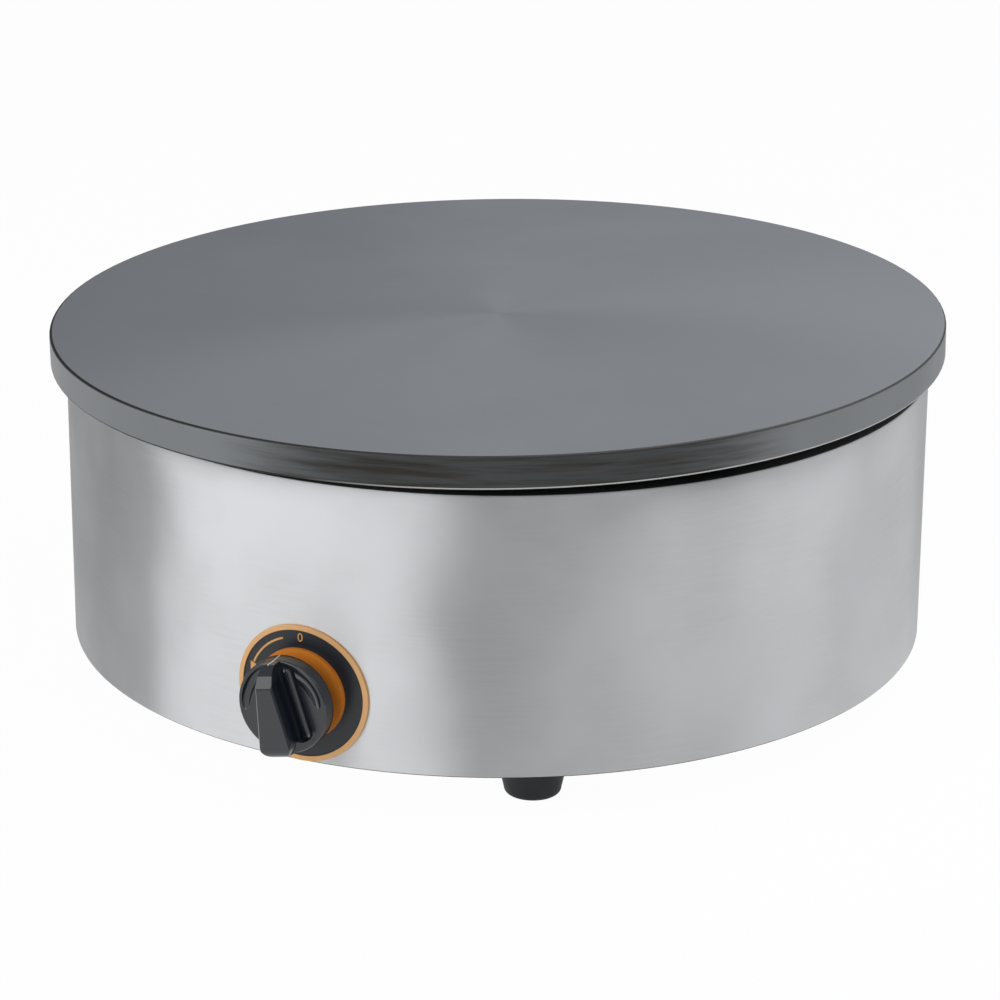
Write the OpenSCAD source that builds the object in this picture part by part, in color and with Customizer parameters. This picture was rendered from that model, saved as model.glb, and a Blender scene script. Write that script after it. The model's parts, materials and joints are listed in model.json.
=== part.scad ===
// Electric crepe maker: a cast griddle plate on a round stainless drum, with one thermostat knob.
// Millimetres, +Z up. The origin is on the drum's axis, on the surface that the feet stand on.
// The knob faces -Y. Angles round the axis are measured from -Y towards +X.

/* [Griddle plate] */
// Diameter of the cast griddle plate
plate_d = 400; // [396:1:420]
// Height of the plate's rim
plate_h = 14.3; // [13:0.1:18]
// Thickness of the plate above the heating elements
plate_web = 10; // [8.5:0.1:10.5]
// Width of the thick ring under the plate's edge
plate_rim_w = 14; // [10:0.5:18]
// Radius of the rim's rounded edges
plate_edge_r = 1.2; // [0.6:0.1:2]
// Angle by which the levelling studs leave the plate out of level
plate_tilt = 0.9; // [0:0.1:1.1]
// Direction in which the plate rises, from +X towards +Y
plate_rise_dir = 24.4; // [0:0.1:90]
// Height of the plate's underside over the drum's top edge, on the axis
plate_gap = 4.4; // [4:0.1:8]

/* [Drum] */
// Outer diameter of the drum
drum_d = 386; // [380:1:392]
// Height of the drum
drum_h = 124; // [115:1:150]
// Thickness of the drum's sheet
drum_t = 1; // [0.8:0.1:1.5]
// Width of the flange turned in at the drum's bottom edge
drum_flange_w = 16; // [14:0.5:20]
// Width of the hem turned in at the drum's top edge
drum_hem_w = 7; // [5:0.5:10]
// Inside radius of the drum's two bends
drum_bend_r = 1.5; // [1:0.1:2]
// Width of the slit where the ends of the drum's sheet meet
seam_gap = 0.5; // [0.3:0.1:1]
// Place of that seam round the drum
seam_angle = 150; // [140:1:160]
// Width of the strip that backs the seam
seam_strip_w = 24; // [16:1:30]

/* [Base and feet] */
// Thickness of the base plate
base_t = 1.2; // [1:0.1:2]
// Distance from the drum's outside to the base plate's edge
base_inset = 5; // [4:0.5:7]
// Number of vent slots in the base plate
vent_count = 12; // [6:1:16]
// Width of a vent slot
vent_w = 4; // [3:0.5:5]
// Length of a vent slot
vent_l = 28; // [20:1:34]
// Height of a rubber foot
foot_h = 16.8; // [12:0.2:24]
// Diameter of a foot where it meets the base plate
foot_top_d = 28; // [26:0.5:32]
// Diameter of a foot at the ground
foot_bottom_d = 22; // [20:0.5:25]
// Distance from the drum's bottom flange to the middle of a foot
foot_setback = 11; // [9:0.5:16]
// Place of the first foot round the base
foot_angle = 30; // [24:1:36]

/* [Plate supports] */
// Radius of the circle of plate supports
support_r = 105; // [100:1:110]
// Thickness of a support bracket
bracket_t = 2.5; // [2:0.1:3]
// Width of a support bracket
bracket_w = 32; // [30:1:38]
// Length of a support bracket's flanges
bracket_flange = 28; // [27:1:32]
// Height from a bracket's top face to the plate's bosses
jack_room = 18; // [17.5:0.5:24]
// Diameter of the cast bosses under the plate
boss_d = 20; // [19:0.5:24]
// Length of a boss below the reflector pan
boss_stand = 3; // [2:0.5:5]

/* [Heating] */
// Diameter of the tubular elements
element_d = 8; // [7:0.5:8.5]
// Radius of the outer element's ring
outer_ring_r = 140; // [136:1:146]
// Radius of the inner element's ring
inner_ring_r = 70; // [66:1:76]
// Depth of the channels that the elements lie in
channel_depth = 3; // [2:0.1:3.5]
// Bend radius of the elements' ends
element_bend_r = 12; // [10:0.5:13]
// Distance between the two ends of an element
element_end_pitch = 25; // [24:0.5:30]
// Length of an element's straight end below its ring
element_tail = 31; // [28:1:36]
// Diameter of the plate that clamps the elements
clamp_d = 312; // [308:1:330]
// Thickness of the plate that clamps the elements
clamp_t = 2; // [1.5:0.1:3]
// Thickness of the insulation board
board_t = 12; // [10:0.5:14]
// Diameter of the reflector pan
pan_d = 336; // [334:1:350]
// Thickness of the reflector pan
pan_t = 0.8; // [0.6:0.1:1.2]
// Height of the reflector pan's lip
pan_lip = 9; // [6:0.5:11]
// Diameter of the thermostat's sensing bulb
bulb_d = 6; // [5:0.5:6.5]
// Length of the sensing bulb
bulb_l = 80; // [60:1:90]
// Diameter of the capillary tube
capillary_d = 2; // [1.5:0.1:2.5]

/* [Dial and knob] */
// Height of the dial's centre above the drum's bottom edge
dial_rise = 31; // [30.5:0.1:45]
// Diameter of the dial over its coloured ring
dial_d = 60; // [56:0.5:62]
// Thickness of the dial plate
dial_t = 1; // [0.8:0.1:1.5]
// Width of the coloured ring, which clasps the dial plate's edge
trim_w = 2.1; // [1.8:0.1:3]
// Thickness of that ring over the dial plate
trim_t = 0.5; // [0.4:0.1:1]
// Diameter of the raised collar behind the knob
collar_d = 40; // [38:0.5:44]
// Height of the collar's face over the drum
collar_h = 2.8; // [2.4:0.1:3.2]
// Diameter of the knob's skirt
skirt_d = 41; // [41:0.5:46]
// Diameter of the knob's front
knob_d = 40.5; // [38:0.5:40.5]
// Distance from the drum to the back of the knob's skirt
knob_standoff = 11.5; // [10:0.5:14]
// Depth of the knob's round body
knob_body_h = 6.2; // [6:0.1:8]
// Height of the grip bar over the knob's round body
grip_h = 12; // [8:0.5:13]
// Width of the grip bar at its pointing end
grip_w = 5.7; // [5:0.1:7]
// Angle at which each side of the grip bar spreads
grip_spread = 7.6; // [6:0.1:8.5]
// Distance from the spindle to the grip bar's lower end
grip_tail = 18.8; // [17:0.1:19]
// Radius of the hollows beside the grip bar
scoop_r = 2.6; // [2.2:0.1:2.8]
// Depth of the crescents sunk in the knob's front
crescent_depth = 1.9; // [1.2:0.1:2.2]
// Angle by which the knob stands turned from its 0 mark
knob_turn = 11; // [0:1:90]

/* [Thermostat] */
// Width of the thermostat's body
stat_w = 44; // [40:1:48]
// Height of the thermostat's body
stat_h = 34; // [30:1:38]
// Depth of the thermostat's body
stat_depth = 32; // [28:1:38]
// Distance from the drum's wall to the thermostat's bracket
stat_setback = 9; // [8.8:0.1:12]
// Distance between the thermostat's two screws
stat_screw_pitch = 28; // [26:0.5:30]
// Diameter of the spindle
spindle_d = 6; // [5.5:0.1:6.5]

/* [Wiring] */
// Height of the cable gland above the drum's bottom edge
gland_rise = 29.3; // [27:0.1:45]
// Thread diameter of the cable gland
gland_thread_d = 20; // [18:0.5:22]
// Diameter of the cord that the gland grips
cord_d = 9; // [7:0.5:9.5]
// Diameter of the internal leads
lead_d = 3; // [2.5:0.1:3.2]
// Bend radius of the internal leads
lead_bend_r = 7; // [5:0.5:8]
// Distance between the ways of the terminal block
way_pitch = 15; // [14:0.5:16]

/* [Hidden] */
$fn = 96;
wall_fn = 256;

cut = 0.5;              // how far a cutter runs past the face it opens
seat = 0.05;            // clearance between pieces that seat on each other
running_fit = 0.05;     // radial clearance of the turning spindle
free_hole = 0.25;       // radial clearance of a screw or stud in a plain hole

drum_r = drum_d / 2;
drum_in_r = drum_r - drum_t;
drum_z = foot_h + base_t;
drum_top = drum_z + drum_h;
plate_r = plate_d / 2;
plate_z = drum_top + plate_gap;

// Heights in the plate's own frame, from the underside of its rim
web_z = plate_h - plate_web;
element_z = web_z + channel_depth - element_d / 2;
clamp_top = element_z - element_d / 2 - seat;
clamp_bottom = clamp_top - clamp_t;
board_bottom = clamp_bottom - board_t;
pan_bottom = board_bottom - pan_t;
boss_bottom = pan_bottom - boss_stand;
bulb_z = clamp_top + seat + bulb_d / 2;
tail_bottom = element_z - element_tail;

// Screw sizes: radius of the thread, across-flats and height of the nut, radius and height of the head
M4 = [2, 7, 3.2, 4, 1.6];
M5 = [2.5, 8, 4, 4.75, 3.2];
M8 = [4, 13, 6.5, 6.5, 5];
washer_t = 1.6;

// Feet
foot_recess_r = 6.5;
foot_recess_h = foot_h * 0.55;
foot_edge_r = 2.5;
foot_web_hole_r = M5[0] + free_hole;
foot_pitch_r = drum_in_r - drum_flange_w - foot_setback;

// Base
base_r = drum_r - base_inset;
base_screw_count = 6;
base_screw_angle = 15;
base_screw_r = (base_r + drum_in_r - drum_flange_w) / 2;
vent_inner_r = 32;
bead_r = 78;
bead_section_r = 4;

// Plate supports
support_angles = [60, 180, 300];
bracket_top = plate_z + boss_bottom - jack_room;
bracket_h = bracket_top - drum_z;
bracket_bend_r = 2;
bracket_web_x = -bracket_flange / 2;
bracket_screw_pitch = 18;
boss_hole_depth = 15;
boss_hole_r = M8[0] + 0.6;

// Elements: both ends of a ring turn down next to the rear, +Y
element_steps = 60;
bush_r = 5;
bush_h = 8;
pin_l = 13;
pin_nut_gap = 4;
clamp_stud_end = pan_bottom - washer_t - M8[2] - 3;
clamp_stud_grip = 7;
bulb_y = -(outer_ring_r + inner_ring_r) / 2;
capillary_x = -bulb_l / 2 - 12;
capillary_hole_r = capillary_d / 2 + 3;
capillary_drop = 25;    // straight length below the pan
link_x = 28;

// Dial, knob and thermostat, in a frame at the drum's front whose z points outwards
dial_z = drum_z + dial_rise;
dial_hole_r = 8;
drum_hole_r = spindle_d / 2 + 3;
hub_r = 6.5;
hub_back = collar_h + 1.4;
knob_face = knob_standoff + knob_body_h;
grip_face = knob_face + grip_h;
knob_wall = 2;
knob_edge_r = 0.8;
trim_lap = 0.5;         // how far the coloured ring reaches past the dial plate's edge
knob_land = 1.5;        // width left between the knob's edge and the hollows in its front
grip_end_r = knob_d / 2 - 0.15;
grip_side_d = grip_w / 2 * cos(grip_spread) + grip_end_r * sin(grip_spread);
grip_chamfer = 0.7;
grip_corner_r = 6;      // rounding of the grip bar's lower corners
grip_corner_x = (grip_side_d - grip_corner_r + (grip_tail - grip_corner_r) * sin(grip_spread)) / cos(grip_spread);
hollow_side = grip_side_d + scoop_r - seat;
hollow_reach = sqrt(pow(knob_d / 2 - knob_land - scoop_r, 2) - hollow_side * hollow_side) + scoop_r * 0.6;
grip_facet_y = 12;      // where the grip bar's front starts to slope to its pointing end
index_w = 0.9;          // line on the knob's side that points at the dial's marks
index_depth = 0.5;
spindle_flat = spindle_d * 0.27;
spindle_tip = knob_face + grip_h * 0.4;
stat_face = -drum_t - stat_setback;
stat_bracket_t = 1.5;
bush_out_l = 6;
bush_out_r = spindle_d / 2 + 2;
stat_bore_l = 8;
stat_foot_x = 30;
stat_foot_w = 12;
tab_x = 10;
tab_l = 10;
tab_w = 6.3;
tab_t = 0.8;

// Cable gland, in a frame at the drum's rear whose z points outwards
gland_z = drum_z + gland_rise;
gland_r = gland_thread_d / 2;
gland_hex_r = gland_r * 1.39;
gland_bore_r = cord_d / 2 + 1.5;
gland_seat = 1.8;
gland_hex_h = 5;
gland_neck_r = gland_r - 1;
gland_neck_end = gland_seat + gland_hex_h + 7;
gland_inside = 9;
gland_seal_l = 8;
gland_cap_end = gland_neck_end + gland_seal_l + 2;
gland_seal_r = gland_neck_r - 1.2;
locknut_h = 4;

// Terminal block and earth stud, on the base plate
block_x = 50;
block_l = 22;
block_h = 18;
block_gap = 1.25;       // from the block's corner to the drum's flange
block_y = sqrt(pow(drum_in_r - drum_flange_w - block_gap, 2) - pow(block_x + way_pitch * 1.5, 2)) - block_l / 2;
way_r = 2.2;
way_grip = 2;           // how far a way's insert is set in from the block's face
way_y = block_y - block_l / 2 + way_grip;
way_z = drum_z + 9;
earth_x = -38;
earth_y = block_y - 2;
lug_r = 5.5;
lug_t = 1;
stud_lug_z = drum_z + M5[2] + seat;

// ---- Helpers ----

// Depth of a curved wall behind its middle, at x to the side
function sag(r, x) = r - sqrt(r * r - x * x);

// Place at a radius and an angle round the drum's axis
function around(r, a) = [r * sin(a), -r * cos(a)];

// A point turned about the unit axis k
function turned(p, k, a) = p * cos(a) + cross(k, p) * sin(a) + k * (k * p) * (1 - cos(a));

// The level line that the plate is tilted about
tilt_axis = [sin(plate_rise_dir), -cos(plate_rise_dir), 0];

// A point of the plate's frame, in the drum's frame
function plate_point(p) = [0, 0, plate_z] + turned(p, tilt_axis, plate_tilt);

// Places a piece that is fixed to the tilted plate
module on_plate() {
    translate([0, 0, plate_z]) rotate(a = plate_tilt, v = tilt_axis) children();
}

module polar(r, a) {
    translate([r * sin(a), -r * cos(a), 0]) rotate([0, 0, a - 90]) children();
}

// Frame at the drum's front on the dial's centre: x to the right, y up, z outwards
module at_dial() {
    translate([0, -drum_r, dial_z]) rotate([90, 0, 0]) children();
}

// The same at the drum's rear, on the cable gland
module at_gland() {
    translate([0, drum_r, gland_z]) rotate([90, 0, 180]) children();
}

module tube(r_out, r_in, h) {
    difference() {
        cylinder(r = r_out, h = h);
        translate([0, 0, -cut]) cylinder(r = r_in, h = h + 2 * cut);
    }
}

// Hexagon of the given width across its flats
module hex(across, h) {
    cylinder(r = across / sqrt(3), h = h, $fn = 6);
}

module hex_nut(m) {
    difference() {
        hex(m[1], m[2]);
        translate([0, 0, -cut]) cylinder(r = m[0] + seat, h = m[2] + 2 * cut);
    }
}

module washer(m) {
    tube(m[0] * 2, m[0] + free_hole, washer_t);
}

// Screw standing on its head: the head below z = 0, the thread above it
module pan_screw(m, l) {
    translate([0, 0, -m[4]])
        difference() {
            cylinder(r1 = m[3] * 0.82, r2 = m[3], h = m[4]);
            for (a = [0, 90])
                rotate([0, 0, a]) translate([-m[3] * 0.55, -0.4, -cut]) cube([m[3] * 1.1, 0.8, m[4] * 0.5 + cut]);
        }
    cylinder(r = m[0], h = l);
}

// Rounded rectangle made of true arcs, with its lower left corner at the origin
module round_rect(w, h, r) {
    translate([r, 0]) square([w - 2 * r, h]);
    translate([0, r]) square([w, h - 2 * r]);
    for (x = [r, w - r], y = [r, h - r]) translate([x, y]) circle(r = r);
}

// Slot with round ends along x, centred
module slot(l, w, h) {
    translate([-(l - w) / 2, -w / 2, 0]) cube([l - w, w, h]);
    for (s = [-1, 1]) translate([s * (l - w) / 2, 0, 0]) cylinder(d = w, h = h);
}

function unit(v) = v / norm(v);
function turn_angle(a, b) = acos(max(-1, min(1, a * b)));

// A line of points with its corners rounded to the radius, in arcs of the given number of steps
function rounded_path(p, bend, steps = 5) = [
    p[0],
    for (i = [1:len(p) - 2])
        let (
            a = unit(p[i] - p[i - 1]),
            b = unit(p[i + 1] - p[i]),
            turn = turn_angle(a, b),
            inward = unit(b - a * (a * b)),
            centre = p[i] - a * bend * tan(turn / 2) + inward * bend
        )
        for (k = [0:steps]) centre + (a * sin(turn * k / steps) - inward * cos(turn * k / steps)) * bend,
    p[len(p) - 1]
];

// Direction of a path at each of its points
function path_directions(p) = [
    for (i = [0:len(p) - 1])
        i == 0 ? unit(p[1] - p[0])
        : i == len(p) - 1 ? unit(p[i] - p[i - 1])
        : unit(unit(p[i] - p[i - 1]) + unit(p[i + 1] - p[i]))
];

// Side vectors carried along a path without twist
function path_sides(dir) =
    let (first = abs(dir[0].z) < 0.9 ? cross(dir[0], [0, 0, 1]) : cross(dir[0], [1, 0, 0]))
    [
        for (i = 0, v = unit(first); i < len(dir);
             i = i + 1, v = i < len(dir) ? unit(v - dir[i] * (dir[i] * v)) : v) v
    ];

// Round bar through a list of points
module bar(p, r, sides = 8) {
    dir = path_directions(p);
    v = path_sides(dir);
    n = len(p);
    points = [
        for (i = [0:n - 1], k = [0:sides - 1])
            p[i] + (v[i] * cos(360 * k / sides) + cross(dir[i], v[i]) * sin(360 * k / sides)) * r
    ];
    walls = [
        for (i = [0:n - 2], k = [0:sides - 1])
            let (a = i * sides + k, b = i * sides + (k + 1) % sides)
            each [[a, a + sides, b], [b, a + sides, b + sides]]
    ];
    first_cap = [for (k = [0:sides - 1]) k];
    last_cap = [for (k = [0:sides - 1]) n * sides - 1 - k];
    polyhedron(points, concat(walls, [first_cap, last_cap]));
}

// ---- Griddle plate ----

module plate_outline() {
    r = plate_edge_r;
    square([plate_r - r, plate_h]);
    translate([0, r]) square([plate_r, plate_h - 2 * r]);
    for (z = [r, plate_h - r]) translate([plate_r - r, z]) circle(r = r);
}

module channel(ring_r) {
    translate([0, 0, element_z])
        rotate_extrude() translate([ring_r, 0]) circle(r = element_d / 2 + 2 * seat);
}

module griddle_plate() {
    color([0.45, 0.47, 0.48]) on_plate() difference() {
        union() {
            difference() {
                rotate_extrude() plate_outline();
                translate([0, 0, -cut]) cylinder(r = plate_r - plate_rim_w, h = web_z + cut);
            }
            for (a = support_angles)
                polar(support_r, a) translate([0, 0, boss_bottom])
                    cylinder(d = boss_d, h = web_z - boss_bottom + cut);
            translate([0, 0, clamp_top + seat])
                cylinder(d = boss_d, h = web_z - clamp_top - seat + cut);
        }
        channel(outer_ring_r);
        channel(inner_ring_r);
        translate([-bulb_l / 2 - 1, bulb_y, bulb_z])
            rotate([0, 90, 0]) cylinder(r = bulb_d / 2 + 2 * seat, h = bulb_l + 2);
        translate([capillary_x, bulb_y, web_z - cut])
            cylinder(r = capillary_hole_r, h = cut + channel_depth / 2);
        for (a = support_angles)
            polar(support_r, a) translate([0, 0, boss_bottom - cut])
                cylinder(r = boss_hole_r, h = boss_hole_depth + cut);
        translate([0, 0, clamp_top - cut])
            cylinder(r = M8[0] + seat, h = web_z - clamp_top + clamp_stud_grip + cut + seat);
    }
}

// ---- Drum and base ----

// Section of the drum's sheet: wall, bottom flange and top hem with bent corners
module drum_section() {
    r = drum_bend_r + drum_t;
    depth = drum_flange_w + drum_t;
    difference() {
        translate([drum_r - 2 * depth, 0]) round_rect(2 * depth, drum_h, r);
        translate([drum_r - 2 * depth, drum_t])
            round_rect(2 * depth - drum_t, drum_h - 2 * drum_t, drum_bend_r);
        translate([drum_r - 2 * depth - cut, -cut]) square([depth + cut, drum_h + 2 * cut]);
        translate([drum_r - 2 * depth, drum_h / 2])
            square([2 * depth - drum_t - drum_hem_w, drum_h / 2 + cut]);
    }
}

module body_drum() {
    color([0.74, 0.75, 0.76]) difference() {
        translate([0, 0, drum_z]) rotate_extrude($fn = wall_fn) drum_section();
        at_dial() translate([0, 0, -drum_t - 2]) cylinder(r = drum_hole_r, h = drum_t + 4);
        at_gland() translate([0, 0, -drum_t - 2]) cylinder(r = gland_r + free_hole, h = drum_t + 4);
        for (i = [0:base_screw_count - 1])
            polar(base_screw_r, base_screw_angle + i * 360 / base_screw_count)
                translate([0, 0, drum_z - cut]) cylinder(r = M4[0] + free_hole, h = drum_t + 2 * cut);
        rotate([0, 0, seam_angle - 90]) translate([drum_r - drum_flange_w - 5, -seam_gap / 2, drum_z - cut])
            cube([drum_flange_w + 10, seam_gap, drum_h + 2 * cut]);
    }
}

module seam_strip() {
    strip_t = drum_t;
    clear = drum_bend_r + 2;
    color([0.62, 0.63, 0.64]) intersection() {
        translate([0, 0, drum_z + drum_t + clear])
            tube(drum_in_r - seat, drum_in_r - seat - strip_t, drum_h - 2 * drum_t - 2 * clear, $fn = wall_fn);
        rotate([0, 0, seam_angle - 90]) translate([0, -seam_strip_w / 2, drum_z])
            cube([drum_r, seam_strip_w, drum_h]);
    }
}

module base_plate() {
    color([0.66, 0.67, 0.68]) translate([0, 0, foot_h]) difference() {
        union() {
            cylinder(r = base_r, h = base_t);
            translate([0, 0, base_t]) rotate_extrude() translate([bead_r, 0]) intersection() {
                circle(r = bead_section_r);
                translate([-bead_section_r, 0]) square([2 * bead_section_r, bead_section_r]);
            }
        }
        translate([0, 0, -cut]) rotate_extrude() translate([bead_r, 0]) intersection() {
            translate([0, cut + base_t]) circle(r = bead_section_r - base_t);
            translate([-bead_section_r, 0]) square(2 * bead_section_r + base_t);
        }
        translate([0, 0, -cut]) rotate_extrude() translate([bead_r - bead_section_r + base_t, 0])
            square([2 * (bead_section_r - base_t), base_t + cut]);
        for (i = [0:vent_count - 1])
            rotate([0, 0, i * 360 / vent_count]) translate([vent_inner_r + vent_l / 2, 0, -cut])
                slot(vent_l, vent_w, base_t + 2 * cut);
        for (i = [0:3])
            polar(foot_pitch_r, foot_angle + 90 * i) translate([0, 0, -cut])
                cylinder(r = M5[0] + free_hole, h = base_t + 2 * cut);
        for (i = [0:base_screw_count - 1])
            polar(base_screw_r, base_screw_angle + i * 360 / base_screw_count)
                translate([0, 0, -cut]) cylinder(r = M4[0] + free_hole, h = base_t + 2 * cut);
        for (a = support_angles) polar(support_r, a) for (s = [-1, 1])
            translate([0, s * bracket_screw_pitch / 2, -cut]) cylinder(r = M5[0] + free_hole, h = base_t + 2 * cut);
        for (p = [[block_x - way_pitch / 2, block_y], [earth_x, earth_y]])
            translate([p.x, p.y, -cut]) cylinder(r = M5[0] + free_hole, h = base_t + 2 * cut);
    }
}

// Tapered rubber foot with a rounded lower edge and a recess for its screw
module foot(i) {
    r1 = foot_bottom_d / 2;
    r2 = foot_top_d / 2;
    e = foot_edge_r;
    color([0.16, 0.18, 0.2]) polar(foot_pitch_r, foot_angle + 90 * i) difference() {
        rotate_extrude() {
            polygon([[0, 0], [r1 - e, 0], [r1 - e, e], [r1, e], [r2, foot_h], [0, foot_h]]);
            translate([r1 - e, e]) circle(r = e);
        }
        translate([0, 0, -cut]) cylinder(r = foot_recess_r, h = foot_recess_h + cut);
        cylinder(r = foot_web_hole_r, h = foot_h + cut);
    }
}

module foot_screws() {
    color([0.7, 0.71, 0.72]) for (i = [0:3]) polar(foot_pitch_r, foot_angle + 90 * i)
        translate([0, 0, foot_recess_h]) pan_screw(M5, foot_h - foot_recess_h + base_t + M5[2] + 2);
}

module foot_nuts() {
    color([0.7, 0.71, 0.72]) for (i = [0:3]) polar(foot_pitch_r, foot_angle + 90 * i)
        translate([0, 0, drum_z]) hex_nut(M5);
}

module base_screws() {
    color([0.7, 0.71, 0.72]) for (i = [0:base_screw_count - 1])
        polar(base_screw_r, base_screw_angle + i * 360 / base_screw_count)
            translate([0, 0, foot_h]) pan_screw(M4, base_t + drum_t + M4[2] + 1.5);
}

module base_nuts() {
    color([0.7, 0.71, 0.72]) for (i = [0:base_screw_count - 1])
        polar(base_screw_r, base_screw_angle + i * 360 / base_screw_count)
            translate([0, 0, drum_z + drum_t]) hex_nut(M4);
}

// ---- Plate supports ----

// Pressed channel that stands on the base plate; x points outwards from the drum's axis
module support_bracket(i) {
    r = bracket_bend_r + bracket_t;
    color([0.6, 0.61, 0.62]) polar(support_r, support_angles[i]) translate([0, 0, drum_z]) difference() {
        translate([bracket_web_x - bracket_t, bracket_w / 2, 0]) rotate([90, 0, 0])
            linear_extrude(bracket_w) difference() {
                round_rect(2 * bracket_flange, bracket_h, r);
                translate([bracket_t, bracket_t])
                    round_rect(2 * bracket_flange, bracket_h - 2 * bracket_t, bracket_bend_r);
                translate([bracket_flange + bracket_t, -cut]) square([2 * bracket_flange, bracket_h + 2 * cut]);
            }
        translate([0, 0, bracket_h - bracket_t - cut])
            cylinder(r = M8[0] + free_hole, h = bracket_t + 2 * cut);
        for (s = [-1, 1]) translate([0, s * bracket_screw_pitch / 2, -cut])
            cylinder(r = M5[0] + free_hole, h = bracket_t + 2 * cut);
        translate([bracket_web_x - bracket_t - cut, 0, bracket_h / 2]) rotate([0, 90, 0])
            slot(bracket_h * 0.5, bracket_w * 0.4, bracket_t + 2 * cut);
    }
}

module bracket_screws() {
    color([0.7, 0.71, 0.72]) for (a = support_angles) polar(support_r, a) for (s = [-1, 1])
        translate([0, s * bracket_screw_pitch / 2, foot_h]) pan_screw(M5, base_t + bracket_t + M5[2] + 2);
}

module bracket_nuts() {
    color([0.7, 0.71, 0.72]) for (a = support_angles) polar(support_r, a) for (s = [-1, 1])
        translate([0, s * bracket_screw_pitch / 2, drum_z + bracket_t]) hex_nut(M5);
}

// Height of the nut that carries the plate's boss at an angle, under the boss's lowest edge
function jack_top(a) =
    let (p = around(support_r, a))
        plate_point([p.x, p.y, boss_bottom]).z - M8[1] / sqrt(3) * sin(plate_tilt) - seat;

module levelling_studs() {
    low = bracket_top - bracket_t - washer_t - M8[2] - 3;
    color([0.7, 0.71, 0.72]) for (a = support_angles) polar(support_r, a)
        translate([0, 0, low]) cylinder(r = M8[0], h = jack_top(a) + boss_hole_depth * 0.8 - low);
}

module levelling_nuts() {
    color([0.7, 0.71, 0.72]) for (a = support_angles) polar(support_r, a) {
        translate([0, 0, bracket_top - bracket_t - washer_t - M8[2]]) hex_nut(M8);
        translate([0, 0, bracket_top + washer_t]) hex_nut(M8);
        translate([0, 0, jack_top(a) - M8[2]]) hex_nut(M8);
    }
}

module levelling_washers() {
    color([0.74, 0.75, 0.76]) for (a = support_angles) polar(support_r, a) {
        translate([0, 0, bracket_top - bracket_t - washer_t]) washer(M8);
        translate([0, 0, bracket_top]) washer(M8);
    }
}

// ---- Heating ----

// Half the angle of the gap in an element's ring
function gap_half(ring_r) = asin((element_end_pitch / 2 + element_bend_r) / ring_r);

// Where an element's end hangs, on the side s of the rear
function tail_place(ring_r, s) =
    let (g = gap_half(ring_r))
        [s * (ring_r * sin(g) - element_bend_r * cos(g)), ring_r * cos(g) + element_bend_r * sin(g)];

// One side of an element, from its hanging end up to its ring, on the side s of the rear
function element_end(ring_r, s, steps = 5) =
    let (g = gap_half(ring_r), p = tail_place(ring_r, s), e = element_bend_r)
    [
        [p.x, p.y, tail_bottom],
        for (k = [0:steps])
            let (t = 90 * k / steps, out = e * (1 - cos(t)))
            [p.x + s * out * cos(g), p.y - out * sin(g), element_z - e * (1 - sin(t))]
    ];

// Ring with two ends that bend down next to each other
module tubular_element(ring_r) {
    g = gap_half(ring_r);
    step = (360 - 2 * g) / element_steps;
    ring = [for (i = [1:element_steps - 1]) let (a = g + step * i) [ring_r * sin(a), ring_r * cos(a), element_z]];
    far_end = element_end(ring_r, -1);
    color([0.35, 0.34, 0.33]) on_plate() bar(
        concat(element_end(ring_r, 1), ring, [for (i = [len(far_end) - 1:-1:0]) far_end[i]]),
        element_d / 2, 12
    );
}

module outer_element() {
    tubular_element(outer_ring_r);
}

module inner_element() {
    tubular_element(inner_ring_r);
}

// Places its children under each of the four element ends
module at_tails() {
    on_plate() for (ring_r = [outer_ring_r, inner_ring_r], s = [-1, 1]) {
        p = tail_place(ring_r, s);
        translate([p.x, p.y, tail_bottom]) children();
    }
}

module element_bushes() {
    color([0.93, 0.91, 0.86]) at_tails() translate([0, 0, -bush_h]) difference() {
        cylinder(r = bush_r, h = bush_h + 4);
        translate([0, 0, bush_h]) cylinder(d = element_d + 2 * seat, h = 4 + cut);
        translate([0, 0, -cut]) cylinder(r = M4[0] + seat, h = bush_h + 2 * cut);
    }
}

module element_pins() {
    color([0.72, 0.72, 0.7]) at_tails() {
        translate([0, 0, -bush_h - pin_l]) cylinder(r = M4[0], h = pin_l + bush_h - seat);
        translate([0, 0, -bush_h - seat - M4[2]]) hex(M4[1], M4[2]);
        translate([0, 0, -bush_h - seat - 2 * M4[2] - pin_nut_gap]) hex(M4[1], M4[2]);
    }
}

// Bare links that join the inner element's ends to the outer element's
module element_links() {
    z = tail_bottom - bush_h - seat - M4[2] - pin_nut_gap / 2;
    color([0.8, 0.45, 0.25]) on_plate() for (s = [-1, 1]) {
        a = tail_place(outer_ring_r, s);
        b = tail_place(inner_ring_r, s);
        bar(rounded_path([
            [a.x + s * (M4[0] + seat), a.y, z], [s * link_x, a.y, z],
            [s * link_x, b.y, z], [b.x + s * (M4[0] + seat), b.y, z]
        ], lead_bend_r), lead_d / 2);
    }
}

// Openings for bosses, element ends and capillary, through the layers under the elements
module layer_openings(h) {
    room = 1.5;
    for (a = support_angles) polar(support_r, a) cylinder(d = boss_d + 2 * room, h = h);
    cylinder(r = M8[0] + free_hole, h = h);
    for (ring_r = [outer_ring_r, inner_ring_r], s = [-1, 1]) {
        g = gap_half(ring_r);
        w = element_d + 2 * room;
        translate([s * ring_r * sin(g), ring_r * cos(g), 0]) rotate([0, 0, 180 * (1 - s) / 2 - s * g])
            translate([-element_bend_r / 2 + room, 0, 0]) slot(element_bend_r + 2 * room + w, w, h);
    }
    translate([capillary_x, bulb_y, 0]) cylinder(r = capillary_hole_r, h = h);
}

module layer(r, z, h) {
    translate([0, 0, z]) difference() {
        cylinder(r = r, h = h);
        translate([0, 0, -cut]) layer_openings(h + 2 * cut);
    }
}

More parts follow.
